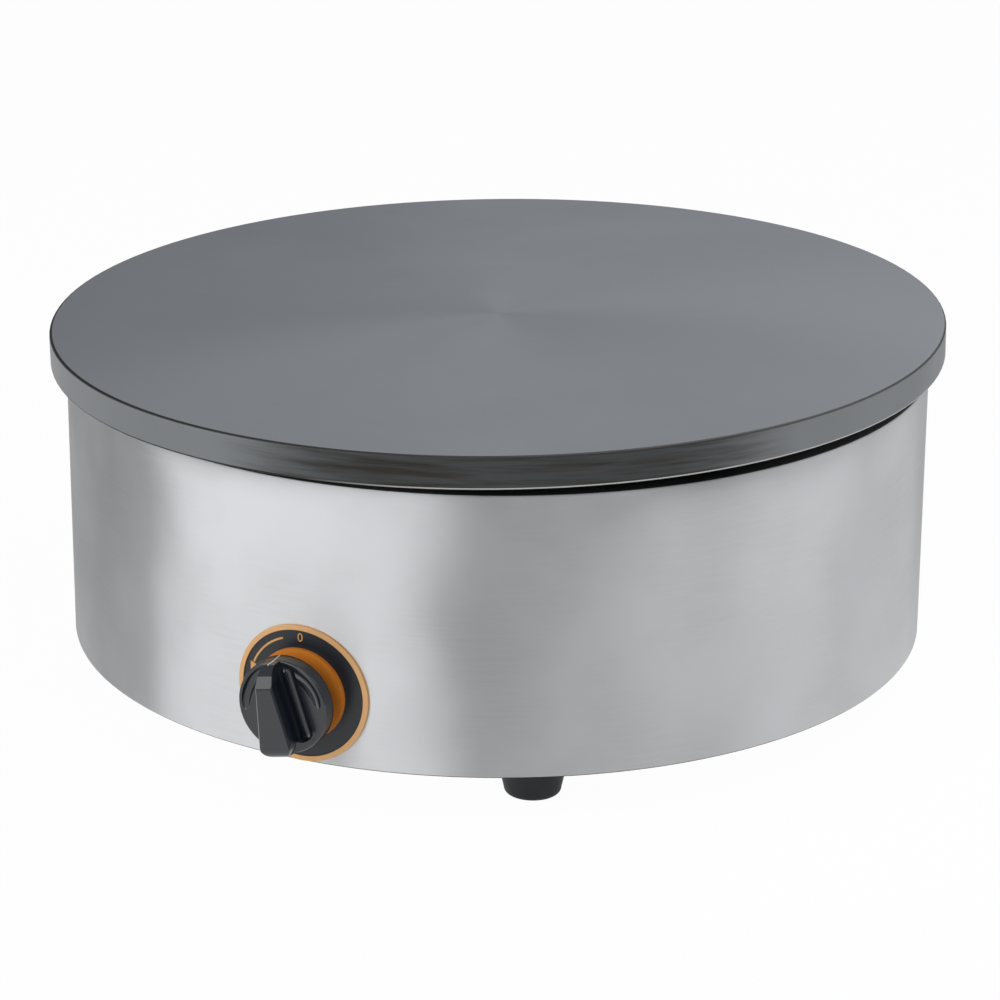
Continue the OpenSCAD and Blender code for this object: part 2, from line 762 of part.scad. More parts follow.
module element_clamp_plate() {
    color([0.55, 0.55, 0.55]) on_plate() layer(clamp_d / 2, clamp_bottom, clamp_t);
}

module insulation_board() {
    color([0.9, 0.88, 0.82]) on_plate() layer(pan_d / 2 - pan_t - 1, board_bottom, board_t);
}

module reflector_pan() {
    color([0.78, 0.79, 0.8]) on_plate() {
        layer(pan_d / 2, pan_bottom, pan_t);
        translate([0, 0, pan_bottom]) tube(pan_d / 2, pan_d / 2 - pan_t, pan_lip);
    }
}

module clamp_stud() {
    color([0.7, 0.71, 0.72]) on_plate() translate([0, 0, clamp_stud_end])
        cylinder(r = M8[0], h = web_z + clamp_stud_grip - clamp_stud_end);
}

module clamp_nut() {
    color([0.7, 0.71, 0.72]) on_plate() translate([0, 0, pan_bottom]) {
        translate([0, 0, -washer_t]) tube(M8[0] * 3, M8[0] + free_hole, washer_t);
        translate([0, 0, -washer_t - M8[2]]) hex_nut(M8);
    }
}

module sensing_bulb() {
    color([0.78, 0.5, 0.32]) on_plate() translate([-bulb_l / 2, bulb_y, bulb_z])
        rotate([0, 90, 0]) cylinder(d = bulb_d, h = bulb_l);
}

module capillary_tube() {
    stat_back = stat_face - stat_depth;
    stat_z = dial_z + stat_h * 0.35;
    stat_y = -drum_r - stat_back;
    color([0.78, 0.5, 0.32]) bar(rounded_path([
        plate_point([-bulb_l / 2, bulb_y, bulb_z]),
        plate_point([capillary_x, bulb_y, bulb_z]),
        plate_point([capillary_x, bulb_y, pan_bottom - capillary_drop]),
        [capillary_x / 2, (bulb_y + stat_y) / 2 + 6, (stat_z + drum_top) / 2 - 18],
        [0, stat_y + 14, stat_z],
        [0, stat_y + seat, stat_z]
    ], 5), capillary_d / 2);
}

// ---- Thermostat ----

module thermostat_body() {
    color([0.86, 0.84, 0.78]) at_dial() difference() {
        union() {
            translate([-stat_w / 2, -stat_h / 2, stat_face - stat_depth])
                linear_extrude(stat_depth) round_rect(stat_w, stat_h, 3);
            translate([0, 0, stat_face - cut]) cylinder(r = bush_out_r, h = bush_out_l + cut);
        }
        translate([0, 0, stat_face - stat_bore_l])
            cylinder(r = spindle_d / 2 + running_fit, h = stat_bore_l + bush_out_l + cut);
        for (s = [-1, 1]) translate([s * stat_screw_pitch / 2, 0, stat_face - 9])
            cylinder(r = M4[0] + seat, h = 9 + cut);
    }
}

// Hat-shaped strap: a flat middle for the thermostat, and two feet that follow the drum's wall
module thermostat_bracket() {
    h = stat_h * 0.8;
    wall = drum_in_r;
    color([0.68, 0.69, 0.7]) at_dial() difference() {
        union() {
            translate([-stat_foot_x, -h / 2, stat_face + seat]) cube([2 * stat_foot_x, h, stat_bracket_t]);
            intersection() {
                translate([0, h / 2, -drum_r]) rotate([90, 0, 0]) cylinder(r = wall, h = h, $fn = wall_fn);
                for (s = [-1, 1])
                    translate([s * (stat_foot_x - stat_bracket_t / 2) - stat_bracket_t / 2, -h / 2, stat_face + seat])
                        cube([stat_bracket_t, h, stat_setback]);
            }
            intersection() {
                translate([0, h / 2, -drum_r]) rotate([90, 0, 0]) tube(wall, wall - stat_bracket_t, h, $fn = wall_fn);
                for (s = [-1, 1])
                    translate([s * (stat_foot_x + stat_foot_w / 2 - stat_bracket_t) - stat_foot_w / 2, -h / 2, -drum_r])
                        cube([stat_foot_w, h, drum_r]);
            }
        }
        translate([0, 0, stat_face - cut]) cylinder(r = bush_out_r + free_hole, h = stat_bracket_t + 2 * cut);
        for (s = [-1, 1]) translate([s * stat_screw_pitch / 2, 0, stat_face - cut])
            cylinder(r = M4[0] + free_hole, h = stat_bracket_t + 2 * cut);
    }
}

module thermostat_screws() {
    color([0.72, 0.73, 0.74]) at_dial() for (s = [-1, 1])
        translate([s * stat_screw_pitch / 2, 0, stat_face + seat + stat_bracket_t])
            rotate([180, 0, 0]) pan_screw(M4, stat_bracket_t + 8);
}

module thermostat_tabs() {
    color([0.83, 0.7, 0.4]) at_dial() for (s = [-1, 1])
        translate([s * tab_x - tab_w / 2, -tab_t / 2, stat_face - stat_depth - tab_l])
            cube([tab_w, tab_t, tab_l]);
}

// ---- Dial and knob ----

// Part of a shell round the drum, between two heights over its wall
module drum_shell(low, high, half_h) {
    translate([0, half_h, -drum_r]) rotate([90, 0, 0]) tube(drum_r + high, drum_r + low, 2 * half_h, $fn = wall_fn);
}

module dial_plate() {
    color([0.19, 0.2, 0.22]) at_dial() intersection() {
        drum_shell(0, dial_t, dial_d);
        translate([0, 0, -dial_d / 4]) tube(dial_d / 2 - trim_lap - seat, dial_hole_r, dial_d / 2);
    }
}

module dial_trim_ring() {
    color([0.85, 0.62, 0.38]) at_dial() difference() {
        intersection() {
            drum_shell(0, dial_t + trim_t, dial_d);
            translate([0, 0, -dial_d / 4]) tube(dial_d / 2, dial_d / 2 - trim_w, dial_d / 2);
        }
        intersection() {
            drum_shell(-2, dial_t, dial_d);
            translate([0, 0, -dial_d / 4]) cylinder(r = dial_d / 2 - trim_lap, h = dial_d / 2);
        }
    }
}

module dial_collar() {
    color([0.85, 0.5, 0.15]) at_dial() difference() {
        translate([0, 0, -2]) tube(collar_d / 2, dial_hole_r, collar_h + 2);
        translate([0, dial_d, -drum_r]) rotate([90, 0, 0]) cylinder(r = drum_r + dial_t, h = 2 * dial_d, $fn = wall_fn);
    }
}

// Spindle section: round with one flat
module spindle_profile(extra) {
    difference() {
        circle(r = spindle_d / 2 + extra);
        translate([spindle_flat + extra, -spindle_d]) square(2 * spindle_d);
    }
}

module turned_knob() {
    at_dial() rotate([0, 0, knob_turn]) children();
}

module spindle() {
    back = stat_face - stat_bore_l + 1;
    color([0.75, 0.75, 0.73]) turned_knob() {
        translate([0, 0, back]) cylinder(d = spindle_d, h = hub_back - 1 - back);
        translate([0, 0, hub_back - 1]) linear_extrude(spindle_tip - hub_back + 1) spindle_profile(0);
    }
}

// Side view of the grip bar: x towards the pointing end, y outwards
module grip_side() {
    round_r = 5;
    back = knob_face - 2.4;
    difference() {
        union() {
            polygon([
                [-grip_tail, back], [-grip_tail, grip_face - round_r], [round_r - grip_tail, grip_face - round_r],
                [round_r - grip_tail, grip_face], [grip_facet_y, grip_face],
                [grip_facet_y + 4.5, grip_face - 3.2], [grip_end_r + 1, grip_face - 8.7], [grip_end_r + 1, back]
            ]);
            translate([round_r - grip_tail, grip_face - round_r]) circle(r = round_r);
        }
        translate([grip_facet_y - 0.25, grip_face - 0.5]) square([0.5, 1]);
    }
}

// Grip bar: a wedge that widens from the pointing end, chamfered along its front
module grip_bar() {
    far = grip_end_r + 1;
    nose_w = grip_w / 2 - tan(grip_spread);
    low = grip_corner_r - grip_tail;
    low_w = grip_corner_x + grip_corner_r * cos(grip_spread);
    low_y = low + grip_corner_r * sin(grip_spread);
    difference() {
        intersection() {
            rotate([90, 0, 90]) translate([0, 0, -knob_d / 2]) linear_extrude(knob_d) grip_side();
            linear_extrude(grip_face + cut) union() {
                polygon([
                    [nose_w, far], [low_w, low_y], [grip_corner_x, low], [grip_corner_x, -grip_tail],
                    [-grip_corner_x, -grip_tail], [-grip_corner_x, low], [-low_w, low_y], [-nose_w, far]
                ]);
                for (s = [-1, 1]) translate([s * grip_corner_x, low]) circle(r = grip_corner_r);
            }
            cylinder(r = grip_end_r, h = grip_face + cut);
        }
        for (s = [-1, 1]) rotate([0, 0, s * grip_spread])
            translate([s * grip_side_d, -knob_d, grip_face - grip_chamfer]) rotate([0, -s * 45, 0])
                translate([s > 0 ? 0 : -3, 0, -3]) cube([3, 2 * knob_d, 6]);
    }
}

// Shoulder that runs down from the bar's lower end to the knob's front, round the end of a hollow
module grip_shoulder(s) {
    pocket_r = scoop_r + 0.3;
    start_x = grip_corner_x + 2.5;
    difference() {
        intersection() {
            translate([0, 0, knob_face - 2.6]) cylinder(r = grip_tail - 0.2, h = grip_h);
            translate([s > 0 ? start_x : -knob_d, -knob_d, 0])
                cube([knob_d - start_x, knob_d - 11, grip_face]);
            translate([s * start_x, -knob_d, grip_face - 2.8]) rotate([0, s * 45, 0])
                translate([-knob_d, 0, -knob_d]) cube([2 * knob_d, knob_d, knob_d]);
        }
        rotate([0, 0, s * grip_spread])
            translate([s * (grip_side_d - 0.5 + pocket_r), pocket_r - hollow_reach + 0.2, 0]) {
                cylinder(r = pocket_r, h = grip_face);
                translate([-pocket_r, 0, 0]) cube([2 * pocket_r, knob_d, grip_face]);
            }
    }
}

// Hollow along one side of the grip bar, with tapered ends
module hollow(s) {
    r = scoop_r;
    run = 2 * hollow_reach;
    rotate([0, 0, s * grip_spread]) translate([s * hollow_side, -hollow_reach, knob_face + 0.4])
        rotate([-90, 0, 0]) rotate_extrude() polygon([
            [0, 0], [r * 0.45, 0], [r * 0.8, r * 0.25], [r, r * 0.7],
            [r, run - r * 0.7], [r * 0.8, run - r * 0.25], [r * 0.45, run], [0, run]
        ]);
}

// Sunk half-moon between that hollow and the knob's edge, beside the pointing end
module crescent(s) {
    r = 2.4;
    lean = 24;
    ring_r = (knob_d / 2 - knob_land - r) / cos(lean);
    rotate([0, 0, -s * 47.6]) translate([0, 0, knob_face + r - crescent_depth + ring_r * sin(lean)])
        rotate([-lean, 0, 0]) rotate_extrude() translate([ring_r, 0]) circle(r = r);
}

module knob() {
    e = knob_edge_r;
    r = knob_d / 2;
    skirt_r = skirt_d / 2;
    color([0.13, 0.14, 0.15]) turned_knob() difference() {
        union() {
            difference() {
                rotate_extrude() {
                    polygon([
                        [0, knob_standoff], [skirt_r, knob_standoff], [skirt_r, knob_standoff + 1],
                        [r, knob_face - e], [r - e, knob_face - e], [r - e, knob_face], [0, knob_face]
                    ]);
                    translate([r - e, knob_face - e]) circle(r = e);
                }
                for (s = [-1, 1]) {
                    hollow(s);
                    crescent(s);
                }
            }
            grip_bar();
            for (s = [-1, 1]) grip_shoulder(s);
        }
        translate([-index_w / 2, r - index_depth, knob_standoff - cut]) cube([index_w, 2, grip_face]);
        difference() {
            translate([0, 0, knob_standoff - cut])
                cylinder(r = skirt_r - knob_wall, h = knob_body_h - knob_wall - scoop_r + cut);
            cylinder(r = hub_r, h = knob_face);
        }
        translate([0, 0, hub_back - cut]) linear_extrude(spindle_tip - hub_back + cut + seat) spindle_profile(seat);
    }
    color([0.13, 0.14, 0.15]) turned_knob() translate([0, 0, hub_back]) difference() {
        cylinder(r = hub_r, h = knob_standoff - hub_back);
        translate([0, 0, -cut]) linear_extrude(knob_standoff - hub_back + 2 * cut) spindle_profile(seat);
        translate([0, 0, 2]) tube(hub_r + cut, hub_r - 0.8, 1.2);
    }
}

// Spring ring in the hub's groove
module knob_clip() {
    color([0.75, 0.75, 0.73]) turned_knob() translate([0, 0, hub_back + 2 + seat]) difference() {
        tube(hub_r + 0.4, hub_r - 0.8 + seat, 1.2 - 2 * seat);
        translate([0, -1.5, -cut]) cube([hub_r + 2, 3, 3]);
    }
}

// ---- Wiring ----

module terminal_block() {
    w = 3 * way_pitch;
    color([0.93, 0.92, 0.88]) translate([block_x - w / 2, block_y - block_l / 2, drum_z]) difference() {
        union() {
            linear_extrude(block_h * 0.6) round_rect(w, block_l, 2);
            for (i = [0:2]) translate([way_pitch * i + 1.5, 2, 0]) cube([way_pitch - 3, block_l - 4, block_h]);
        }
        for (i = [0:2]) translate([way_pitch * (i + 0.5), -cut, way_z - drum_z]) rotate([-90, 0, 0])
            cylinder(r = way_r + 1.2, h = block_l + 2 * cut);
        for (i = [0:2], y = [block_l * 0.3, block_l * 0.7])
            translate([way_pitch * (i + 0.5), y, way_z - drum_z]) cylinder(r = M4[0] + 0.3, h = block_h);
        translate([way_pitch, block_l / 2, -cut]) cylinder(r = M4[0] + seat, h = block_h + 2 * cut);
    }
}

module terminal_inserts() {
    color([0.83, 0.7, 0.4]) for (i = [-1:1])
        translate([block_x + way_pitch * i, way_y, way_z]) rotate([-90, 0, 0]) difference() {
            cylinder(r = way_r + 1.2 - seat, h = block_l - 2 * way_grip);
            translate([0, 0, -cut]) cylinder(r = lead_d / 2 + seat, h = block_l);
            for (z = [block_l * 0.3 - way_grip, block_l * 0.7 - way_grip])
                translate([0, 0, z]) rotate([90, 0, 0]) cylinder(r = M4[0] - 0.2, h = 10);
        }
}

module terminal_screws() {
    color([0.72, 0.73, 0.74]) for (i = [-1:1], y = [0.3, 0.7])
        translate([block_x + way_pitch * i, block_y + block_l * (y - 0.5), way_z + lead_d / 2 + seat])
            difference() {
                cylinder(r = M4[0] - 0.25, h = 8);
                translate([-3, -0.4, 7]) cube([6, 0.8, 2]);
            }
}

module block_screw() {
    color([0.72, 0.73, 0.74]) translate([block_x - way_pitch / 2, block_y, foot_h]) pan_screw(M4, base_t + block_h * 0.5);
}

module earth_stud() {
    color([0.83, 0.7, 0.4]) translate([earth_x, earth_y, 0]) {
        translate([0, 0, foot_h]) pan_screw(M5, base_t + 2 * M5[2] + lug_t + 4);
        translate([0, 0, drum_z]) hex_nut(M5);
        translate([0, 0, stud_lug_z]) tube(lug_r, M5[0] + seat, lug_t);
        translate([0, 0, stud_lug_z + lug_t + seat]) hex_nut(M5);
    }
}

// Leads: routes between the terminals, in the drum's frame
lug_grip = 5;           // length of a lead held in its way
way_run = 12;           // straight length out of a way
earth_run = 10;
tab_y = -drum_r - stat_face + stat_depth + tab_l;
tab_run = 22;           // straight length out of a thermostat tab
drop = 24;              // straight length below the live element pin
neutral_drop = 20;      // the same below the neutral pin
neutral_jog = 6;
neutral_rise = 36;
live_side_x = 60;       // line that the live lead follows past the brackets
live_front_x = 42;
live_front_y = -95;
live_rear_y = 105;
out_front_x = -50;      // line that the switched lead follows on the other side
out_front_y = -60;
out_front_z = 62;
out_rear_x = -52;
out_rear_y = 60;
out_rear_z = 66;
earth_loop = 22;

module lead(points, colour) {
    color(colour) bar(rounded_path(points, lead_bend_r), lead_d / 2);
}

module lead_live_in() {
    x = block_x + way_pitch;
    lead([
        [x, way_y + lug_grip, way_z], [x, live_rear_y, way_z], [live_side_x, 0, way_z],
        [live_front_x, live_front_y, way_z],
        [tab_x, tab_y + tab_run, dial_z], [tab_x, tab_y + seat, dial_z]
    ], [0.45, 0.25, 0.15]);
}

module lead_live_out() {
    p = tail_place(outer_ring_r, -1);
    pin = plate_point([p.x, p.y, tail_bottom - bush_h - pin_l - seat]);
    lead([
        [-tab_x, tab_y + seat, dial_z], [-tab_x, tab_y + tab_run, dial_z],
        [out_front_x, out_front_y, out_front_z], [out_rear_x, out_rear_y, out_rear_z],
        [pin.x, pin.y, pin.z - drop], pin
    ], [0.2, 0.2, 0.2]);
}

module lead_neutral() {
    p = tail_place(outer_ring_r, 1);
    pin = plate_point([p.x, p.y, tail_bottom - bush_h - pin_l - seat]);
    lead([
        [block_x, way_y + lug_grip, way_z], [block_x, way_y - way_run, way_z],
        [block_x - neutral_jog, way_y - way_run, way_z + neutral_rise],
        [pin.x, pin.y, pin.z - neutral_drop], pin
    ], [0.2, 0.35, 0.65]);
}

module lead_earth() {
    x = block_x - way_pitch;
    z = stud_lug_z + lug_t / 2;
    lead([
        [x, way_y + lug_grip, way_z], [x, way_y - earth_run, way_z], [earth_x + earth_loop, way_y - earth_run, way_z],
        [earth_x + earth_loop, earth_y, z], [earth_x + lug_r + seat, earth_y, z]
    ], [0.45, 0.6, 0.2]);
}

module gland_body() {
    color([0.12, 0.12, 0.13]) at_gland() difference() {
        union() {
            translate([0, 0, -gland_inside]) cylinder(r = gland_r, h = gland_inside + gland_seat + cut);
            translate([0, 0, gland_seat]) hex(gland_hex_r * sqrt(3), gland_hex_h);
            translate([0, 0, gland_seat + cut]) cylinder(r = gland_neck_r, h = gland_neck_end - gland_seat - cut);
        }
        translate([0, 0, -gland_inside - cut]) cylinder(r = gland_bore_r, h = gland_inside + gland_neck_end + 2 * cut);
    }
}

module gland_cap() {
    base = gland_seat + gland_hex_h + 0.6;
    dome = 5;
    color([0.12, 0.12, 0.13]) at_gland() difference() {
        union() {
            translate([0, 0, base]) hex(gland_hex_r * sqrt(3), gland_cap_end - dome - base);
            translate([0, 0, gland_cap_end - dome])
                cylinder(r1 = gland_hex_r * 0.84, r2 = gland_hex_r * 0.58, h = dome);
        }
        translate([0, 0, base - cut]) cylinder(r = gland_neck_r + seat, h = gland_neck_end - base + cut + seat);
        translate([0, 0, base]) cylinder(r = gland_seal_r + seat, h = gland_neck_end + gland_seal_l - base);
        translate([0, 0, base]) cylinder(r = cord_d / 2 + 0.8, h = gland_cap_end - base + cut);
    }
}

module gland_seal() {
    color([0.22, 0.22, 0.23]) at_gland() translate([0, 0, gland_neck_end + seat])
        tube(gland_seal_r, cord_d / 2, gland_seal_l - 2 * seat);
}

module gland_gasket() {
    color([0.2, 0.2, 0.21]) at_gland() difference() {
        translate([0, 0, -2]) tube(gland_r * 1.25, gland_r + seat, gland_seat + 2);
        translate([0, dial_d, -drum_r]) rotate([90, 0, 0]) cylinder(r = drum_r, h = 2 * dial_d, $fn = wall_fn);
    }
}

module gland_locknut() {
    top = -drum_t - sag(drum_in_r, gland_hex_r) - seat;
    color([0.12, 0.12, 0.13]) at_gland() translate([0, 0, top - locknut_h]) difference() {
        hex(gland_hex_r * sqrt(3), locknut_h);
        translate([0, 0, -cut]) cylinder(r = gland_r + seat, h = locknut_h + 2 * cut);
    }
}

griddle_plate();
body_drum();
seam_strip();
base_plate();
foot(0);  // foot_1
foot(1);  // foot_2
foot(2);  // foot_3
foot(3);  // foot_4
foot_screws();
foot_nuts();
base_screws();
base_nuts();
support_bracket(0);  // support_bracket_1
support_bracket(1);  // support_bracket_2
support_bracket(2);  // support_bracket_3
bracket_screws();
bracket_nuts();
levelling_studs();
levelling_nuts();
levelling_washers();
outer_element();
inner_element();
element_bushes();
element_pins();
element_links();
element_clamp_plate();
insulation_board();
reflector_pan();
clamp_stud();
clamp_nut();
sensing_bulb();
capillary_tube();
thermostat_body();
thermostat_bracket();
thermostat_screws();
thermostat_tabs();
spindle();
knob();
knob_clip();
dial_plate();
dial_trim_ring();
dial_collar();
terminal_block();
terminal_inserts();
terminal_screws();
block_screw();
earth_stud();
lead_live_in();
lead_live_out();
lead_neutral();
lead_earth();
gland_body();
gland_cap();
gland_seal();
gland_gasket();
gland_locknut();
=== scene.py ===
import json
import logging
import math
from collections.abc import Iterable, Mapping
from dataclasses import dataclass, field
from enum import Enum

import bmesh
import bpy
from mathutils import Matrix, Vector

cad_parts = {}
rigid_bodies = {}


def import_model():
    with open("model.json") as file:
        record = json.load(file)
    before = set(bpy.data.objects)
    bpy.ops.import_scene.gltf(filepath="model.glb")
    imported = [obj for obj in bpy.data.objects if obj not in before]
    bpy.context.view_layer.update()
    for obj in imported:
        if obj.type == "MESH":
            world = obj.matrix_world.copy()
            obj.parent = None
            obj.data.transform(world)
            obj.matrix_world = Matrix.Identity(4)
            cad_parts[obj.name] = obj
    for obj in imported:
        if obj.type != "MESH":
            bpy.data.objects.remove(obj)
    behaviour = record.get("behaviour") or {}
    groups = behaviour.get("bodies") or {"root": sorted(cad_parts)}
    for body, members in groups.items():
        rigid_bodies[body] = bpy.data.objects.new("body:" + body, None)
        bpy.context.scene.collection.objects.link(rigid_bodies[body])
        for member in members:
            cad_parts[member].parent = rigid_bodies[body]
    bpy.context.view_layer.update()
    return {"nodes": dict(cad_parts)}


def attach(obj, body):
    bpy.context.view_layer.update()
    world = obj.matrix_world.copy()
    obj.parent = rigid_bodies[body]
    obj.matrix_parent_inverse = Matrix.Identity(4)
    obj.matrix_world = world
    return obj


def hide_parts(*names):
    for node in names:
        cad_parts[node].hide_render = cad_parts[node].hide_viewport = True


LOG = logging.getLogger("crepe_maker")

MM = 0.001  # metres in a millimetre
MERGE_DISTANCE = 1e-7  # metres, under which two points are one
SHARP_ANGLE = math.radians(40)  # edges that bend more than this stay crisp
QUARTER_TURN = math.radians(90)
ORIGIN = (0.0, 0.0, 0.0)
UP = (0.0, 0.0, 1.0)

Point = tuple[float, float, float]


def linear(hex_colour: str) -> tuple[float, float, float, float]:
    """Turns an sRGB hex colour into the linear colour that shaders take.

    The numbers are those of the sRGB standard.

    Args:
        hex_colour: six hex digits after a hash sign.

    Returns:
        Red, green, blue and an alpha of one.
    """
    parts = [int(hex_colour[i : i + 2], 16) / 255 for i in (1, 3, 5)]
    return (
        *(c / 12.92 if c <= 0.04045 else ((c + 0.055) / 1.055) ** 2.4 for c in parts),
        1.0,
    )


def add_node(
    tree: bpy.types.NodeTree,
    kind: str,
    inputs: Mapping[str | int, object] | None = None,
    **settings: object,
) -> bpy.types.Node:
    """Adds a shader node with its settings, values and links.

    Args:
        tree: the node tree that it goes into.
        kind: the node's type without its ShaderNode prefix.
        inputs: socket name or number, each with a value or with the output that feeds it.
        **settings: properties of the node itself.

    Returns:
        The new node.
    """
    made = tree.nodes.new("ShaderNode" + kind)
    for name, value in settings.items():
        setattr(made, name, value)
    for socket, value in (inputs or {}).items():
        if isinstance(value, bpy.types.NodeSocket):
            tree.links.new(value, made.inputs[socket])
        else:
            made.inputs[socket].default_value = value
    return made


# ---- Finishes ----

# How rich each noise pattern is, in octaves
FINE_OCTAVES = 3.0
BROAD_OCTAVES = 4.0
SMEAR_OCTAVES = 5.0
WAVE_OCTAVES = 1.0
FINE_ROUGHNESS = 0.6
# The broad pattern seldom leaves this range, so the gloss drifts from end to end of it
DRIFT_RANGE = (0.3, 0.7)


class Grain(Enum):
    """How a pattern is drawn out along the object's axes."""

    EVEN = (1.0, 1.0, 1.0)
    ROUND_THE_DRUM = (0.012, 0.012, 1.0)
    SMEARED = (0.06, 0.06, 1.0)


@dataclass(frozen=True)
class Finish:
    """A surface as its real material and process leave it.

    The colour drifts between two tones, the gloss drifts with it, and a fine relief breaks
    the highlights.
    """

    name: str
    tone: str
    second_tone: str
    metallic: float = 0.0
    roughness: float = 0.5
    gloss_drift: float = 0.05
    drift_mm: float = 30.0
    grain_mm: float = 0.8
    relief_mm: float = 0.02
    grain: Grain = Grain.EVEN
    sockets: tuple[tuple[str, float], ...] = ()

    def build(self) -> bpy.types.Material:
        """Makes the Blender material.

        Returns:
            The material, ready to be given to a mesh.
        """
        material = bpy.data.materials.new(self.name)
        material.use_nodes = True
        tree = material.node_tree
        tree.nodes.clear()
        place = add_node(tree, "TexCoord").outputs["Object"]
        height, drift = self.patterns(tree, place)
        shader = add_node(
            tree,
            "BsdfPrincipled",
            {
                "Base Color": self.colour(tree, place, drift),
                "Metallic": self.metal(tree, place),
                "Roughness": self.gloss(tree, drift),
                "Normal": self.relief(tree, place, height),
                **dict(self.sockets),
            },
        )
        add_node(tree, "OutputMaterial", {"Surface": shader.outputs["BSDF"]})
        return material

    def metal(
        self, tree: bpy.types.NodeTree, place: bpy.types.NodeSocket
    ) -> float | bpy.types.NodeSocket:
        """Gives how far the surface is bare metal, here the same all over."""
        return self.metallic

    def stretched(
        self, tree: bpy.types.NodeTree, place: bpy.types.NodeSocket, grain: Grain
    ) -> bpy.types.NodeSocket:
        """Draws the coordinates out along a grain.

        Args:
            tree: the material's tree.
            place: coordinates in metres.
            grain: the direction of the pattern.

        Returns:
            The stretched coordinates.
        """
        return add_node(
            tree, "Mapping", {"Vector": place, "Scale": grain.value}
        ).outputs["Vector"]

    def patterns(
        self, tree: bpy.types.NodeTree, place: bpy.types.NodeSocket
    ) -> tuple[bpy.types.NodeSocket, bpy.types.NodeSocket]:
        """Makes the fine pattern and the broad one.

        Args:
            tree: the material's tree.
            place: coordinates in metres.

        Returns:
            The height of the fine grain and the drift of the tone, each from 0 to 1.
        """
        fine = add_node(
            tree,
            "TexNoise",
            {
                "Vector": self.stretched(tree, place, self.grain),
                "Scale": 1 / (self.grain_mm * MM),
                "Detail": FINE_OCTAVES,
                "Roughness": FINE_ROUGHNESS,
            },
        )
        broad = add_node(
            tree,
            "TexNoise",
            {
                "Vector": place,
                "Scale": 1 / (self.drift_mm * MM),
                "Detail": BROAD_OCTAVES,
            },
        )
        return fine.outputs["Fac"], broad.outputs["Fac"]

    def layered(
        self,
        tree: bpy.types.NodeTree,
        under: bpy.types.NodeSocket,
        layers: Iterable[tuple[str, bpy.types.NodeSocket]],
    ) -> bpy.types.NodeSocket:
        """Lays tones over a colour, one after another.

        Args:
            tree: the material's tree.
            under: the colour below.
            layers: each tone's sRGB hex, with the share that it covers, from 0 to 1.

        Returns:
            The colour on top.
        """
        for tone, share in layers:
            under = add_node(
                tree,
                "Mix",
                {"Factor": share, "A": under, "B": linear(tone)},
                data_type="RGBA",
            ).outputs["Result"]
        return under

    def shared(
        self, tree: bpy.types.NodeTree, *shares: float | bpy.types.NodeSocket
    ) -> bpy.types.NodeSocket:
        """Gives where several covers lie together, as the product of their shares.

        Args:
            tree: the material's tree.
            *shares: two or more, the first of them a socket.

        Returns:
            The product.
        """
        both, *others = shares
        for share in others:
            both = add_node(
                tree, "Math", {0: both, 1: share}, operation="MULTIPLY"
            ).outputs[0]
        return both

    def beyond(
        self,
        tree: bpy.types.NodeTree,
        place: bpy.types.NodeSocket,
        way: Point,
        start_mm: float,
        full_mm: float,
    ) -> bpy.types.NodeSocket:
        """Gives a share that rises with the distance along a direction.

        Args:
            tree: the material's tree.
            place: coordinates in metres.
            way: the direction, one long.
            start_mm: the distance at which the share leaves 0.
            full_mm: the distance at which it is 1, which may be the lesser one.

        Returns:
            The share.
        """
        distance = add_node(
            tree, "VectorMath", {0: place, 1: way}, operation="DOT_PRODUCT"
        ).outputs["Value"]
        return add_node(
            tree,
            "MapRange",
            {"Value": distance, "From Min": start_mm * MM, "From Max": full_mm * MM},
            interpolation_type="SMOOTHSTEP",
        ).outputs["Result"]

    def colour(
        self,
        tree: bpy.types.NodeTree,
        place: bpy.types.NodeSocket,
        drift: bpy.types.NodeSocket,
    ) -> bpy.types.NodeSocket:
        """Blends the two tones.

        Args:
            tree: the material's tree.
            place: coordinates in metres; not used here.
            drift: the blend, from 0 to 1.

        Returns:
            The colour.
        """
        return add_node(
            tree,
            "Mix",
            {
                "Factor": drift,
                "A": linear(self.tone),
                "B": linear(self.second_tone),
            },
            data_type="RGBA",
        ).outputs["Result"]

    def gloss(
        self, tree: bpy.types.NodeTree, drift: bpy.types.NodeSocket
    ) -> bpy.types.NodeSocket:
        """Lets the roughness drift round its middle value.

        Args:
            tree: the material's tree.
            drift: the pattern, from 0 to 1.

        Returns:
            The roughness.
        """
        return add_node(
            tree,
            "MapRange",
            {
                "Value": drift,
                "From Min": DRIFT_RANGE[0],
                "From Max": DRIFT_RANGE[1],
                "To Min": self.roughness - self.gloss_drift,
                "To Max": self.roughness + self.gloss_drift,
            },
        ).outputs["Result"]

    def relief(
        self,
        tree: bpy.types.NodeTree,
        place: bpy.types.NodeSocket,
        height: bpy.types.NodeSocket,
    ) -> bpy.types.NodeSocket:
        """Raises the fine grain.

        Args:
            tree: the material's tree.
            place: coordinates in metres; not used here.
            height: the pattern, from 0 to 1.

        Returns:
            The bent normal.
        """
        return add_node(
            tree, "Bump", {"Height": height, "Distance": self.relief_mm * MM}
        ).outputs["Normal"]


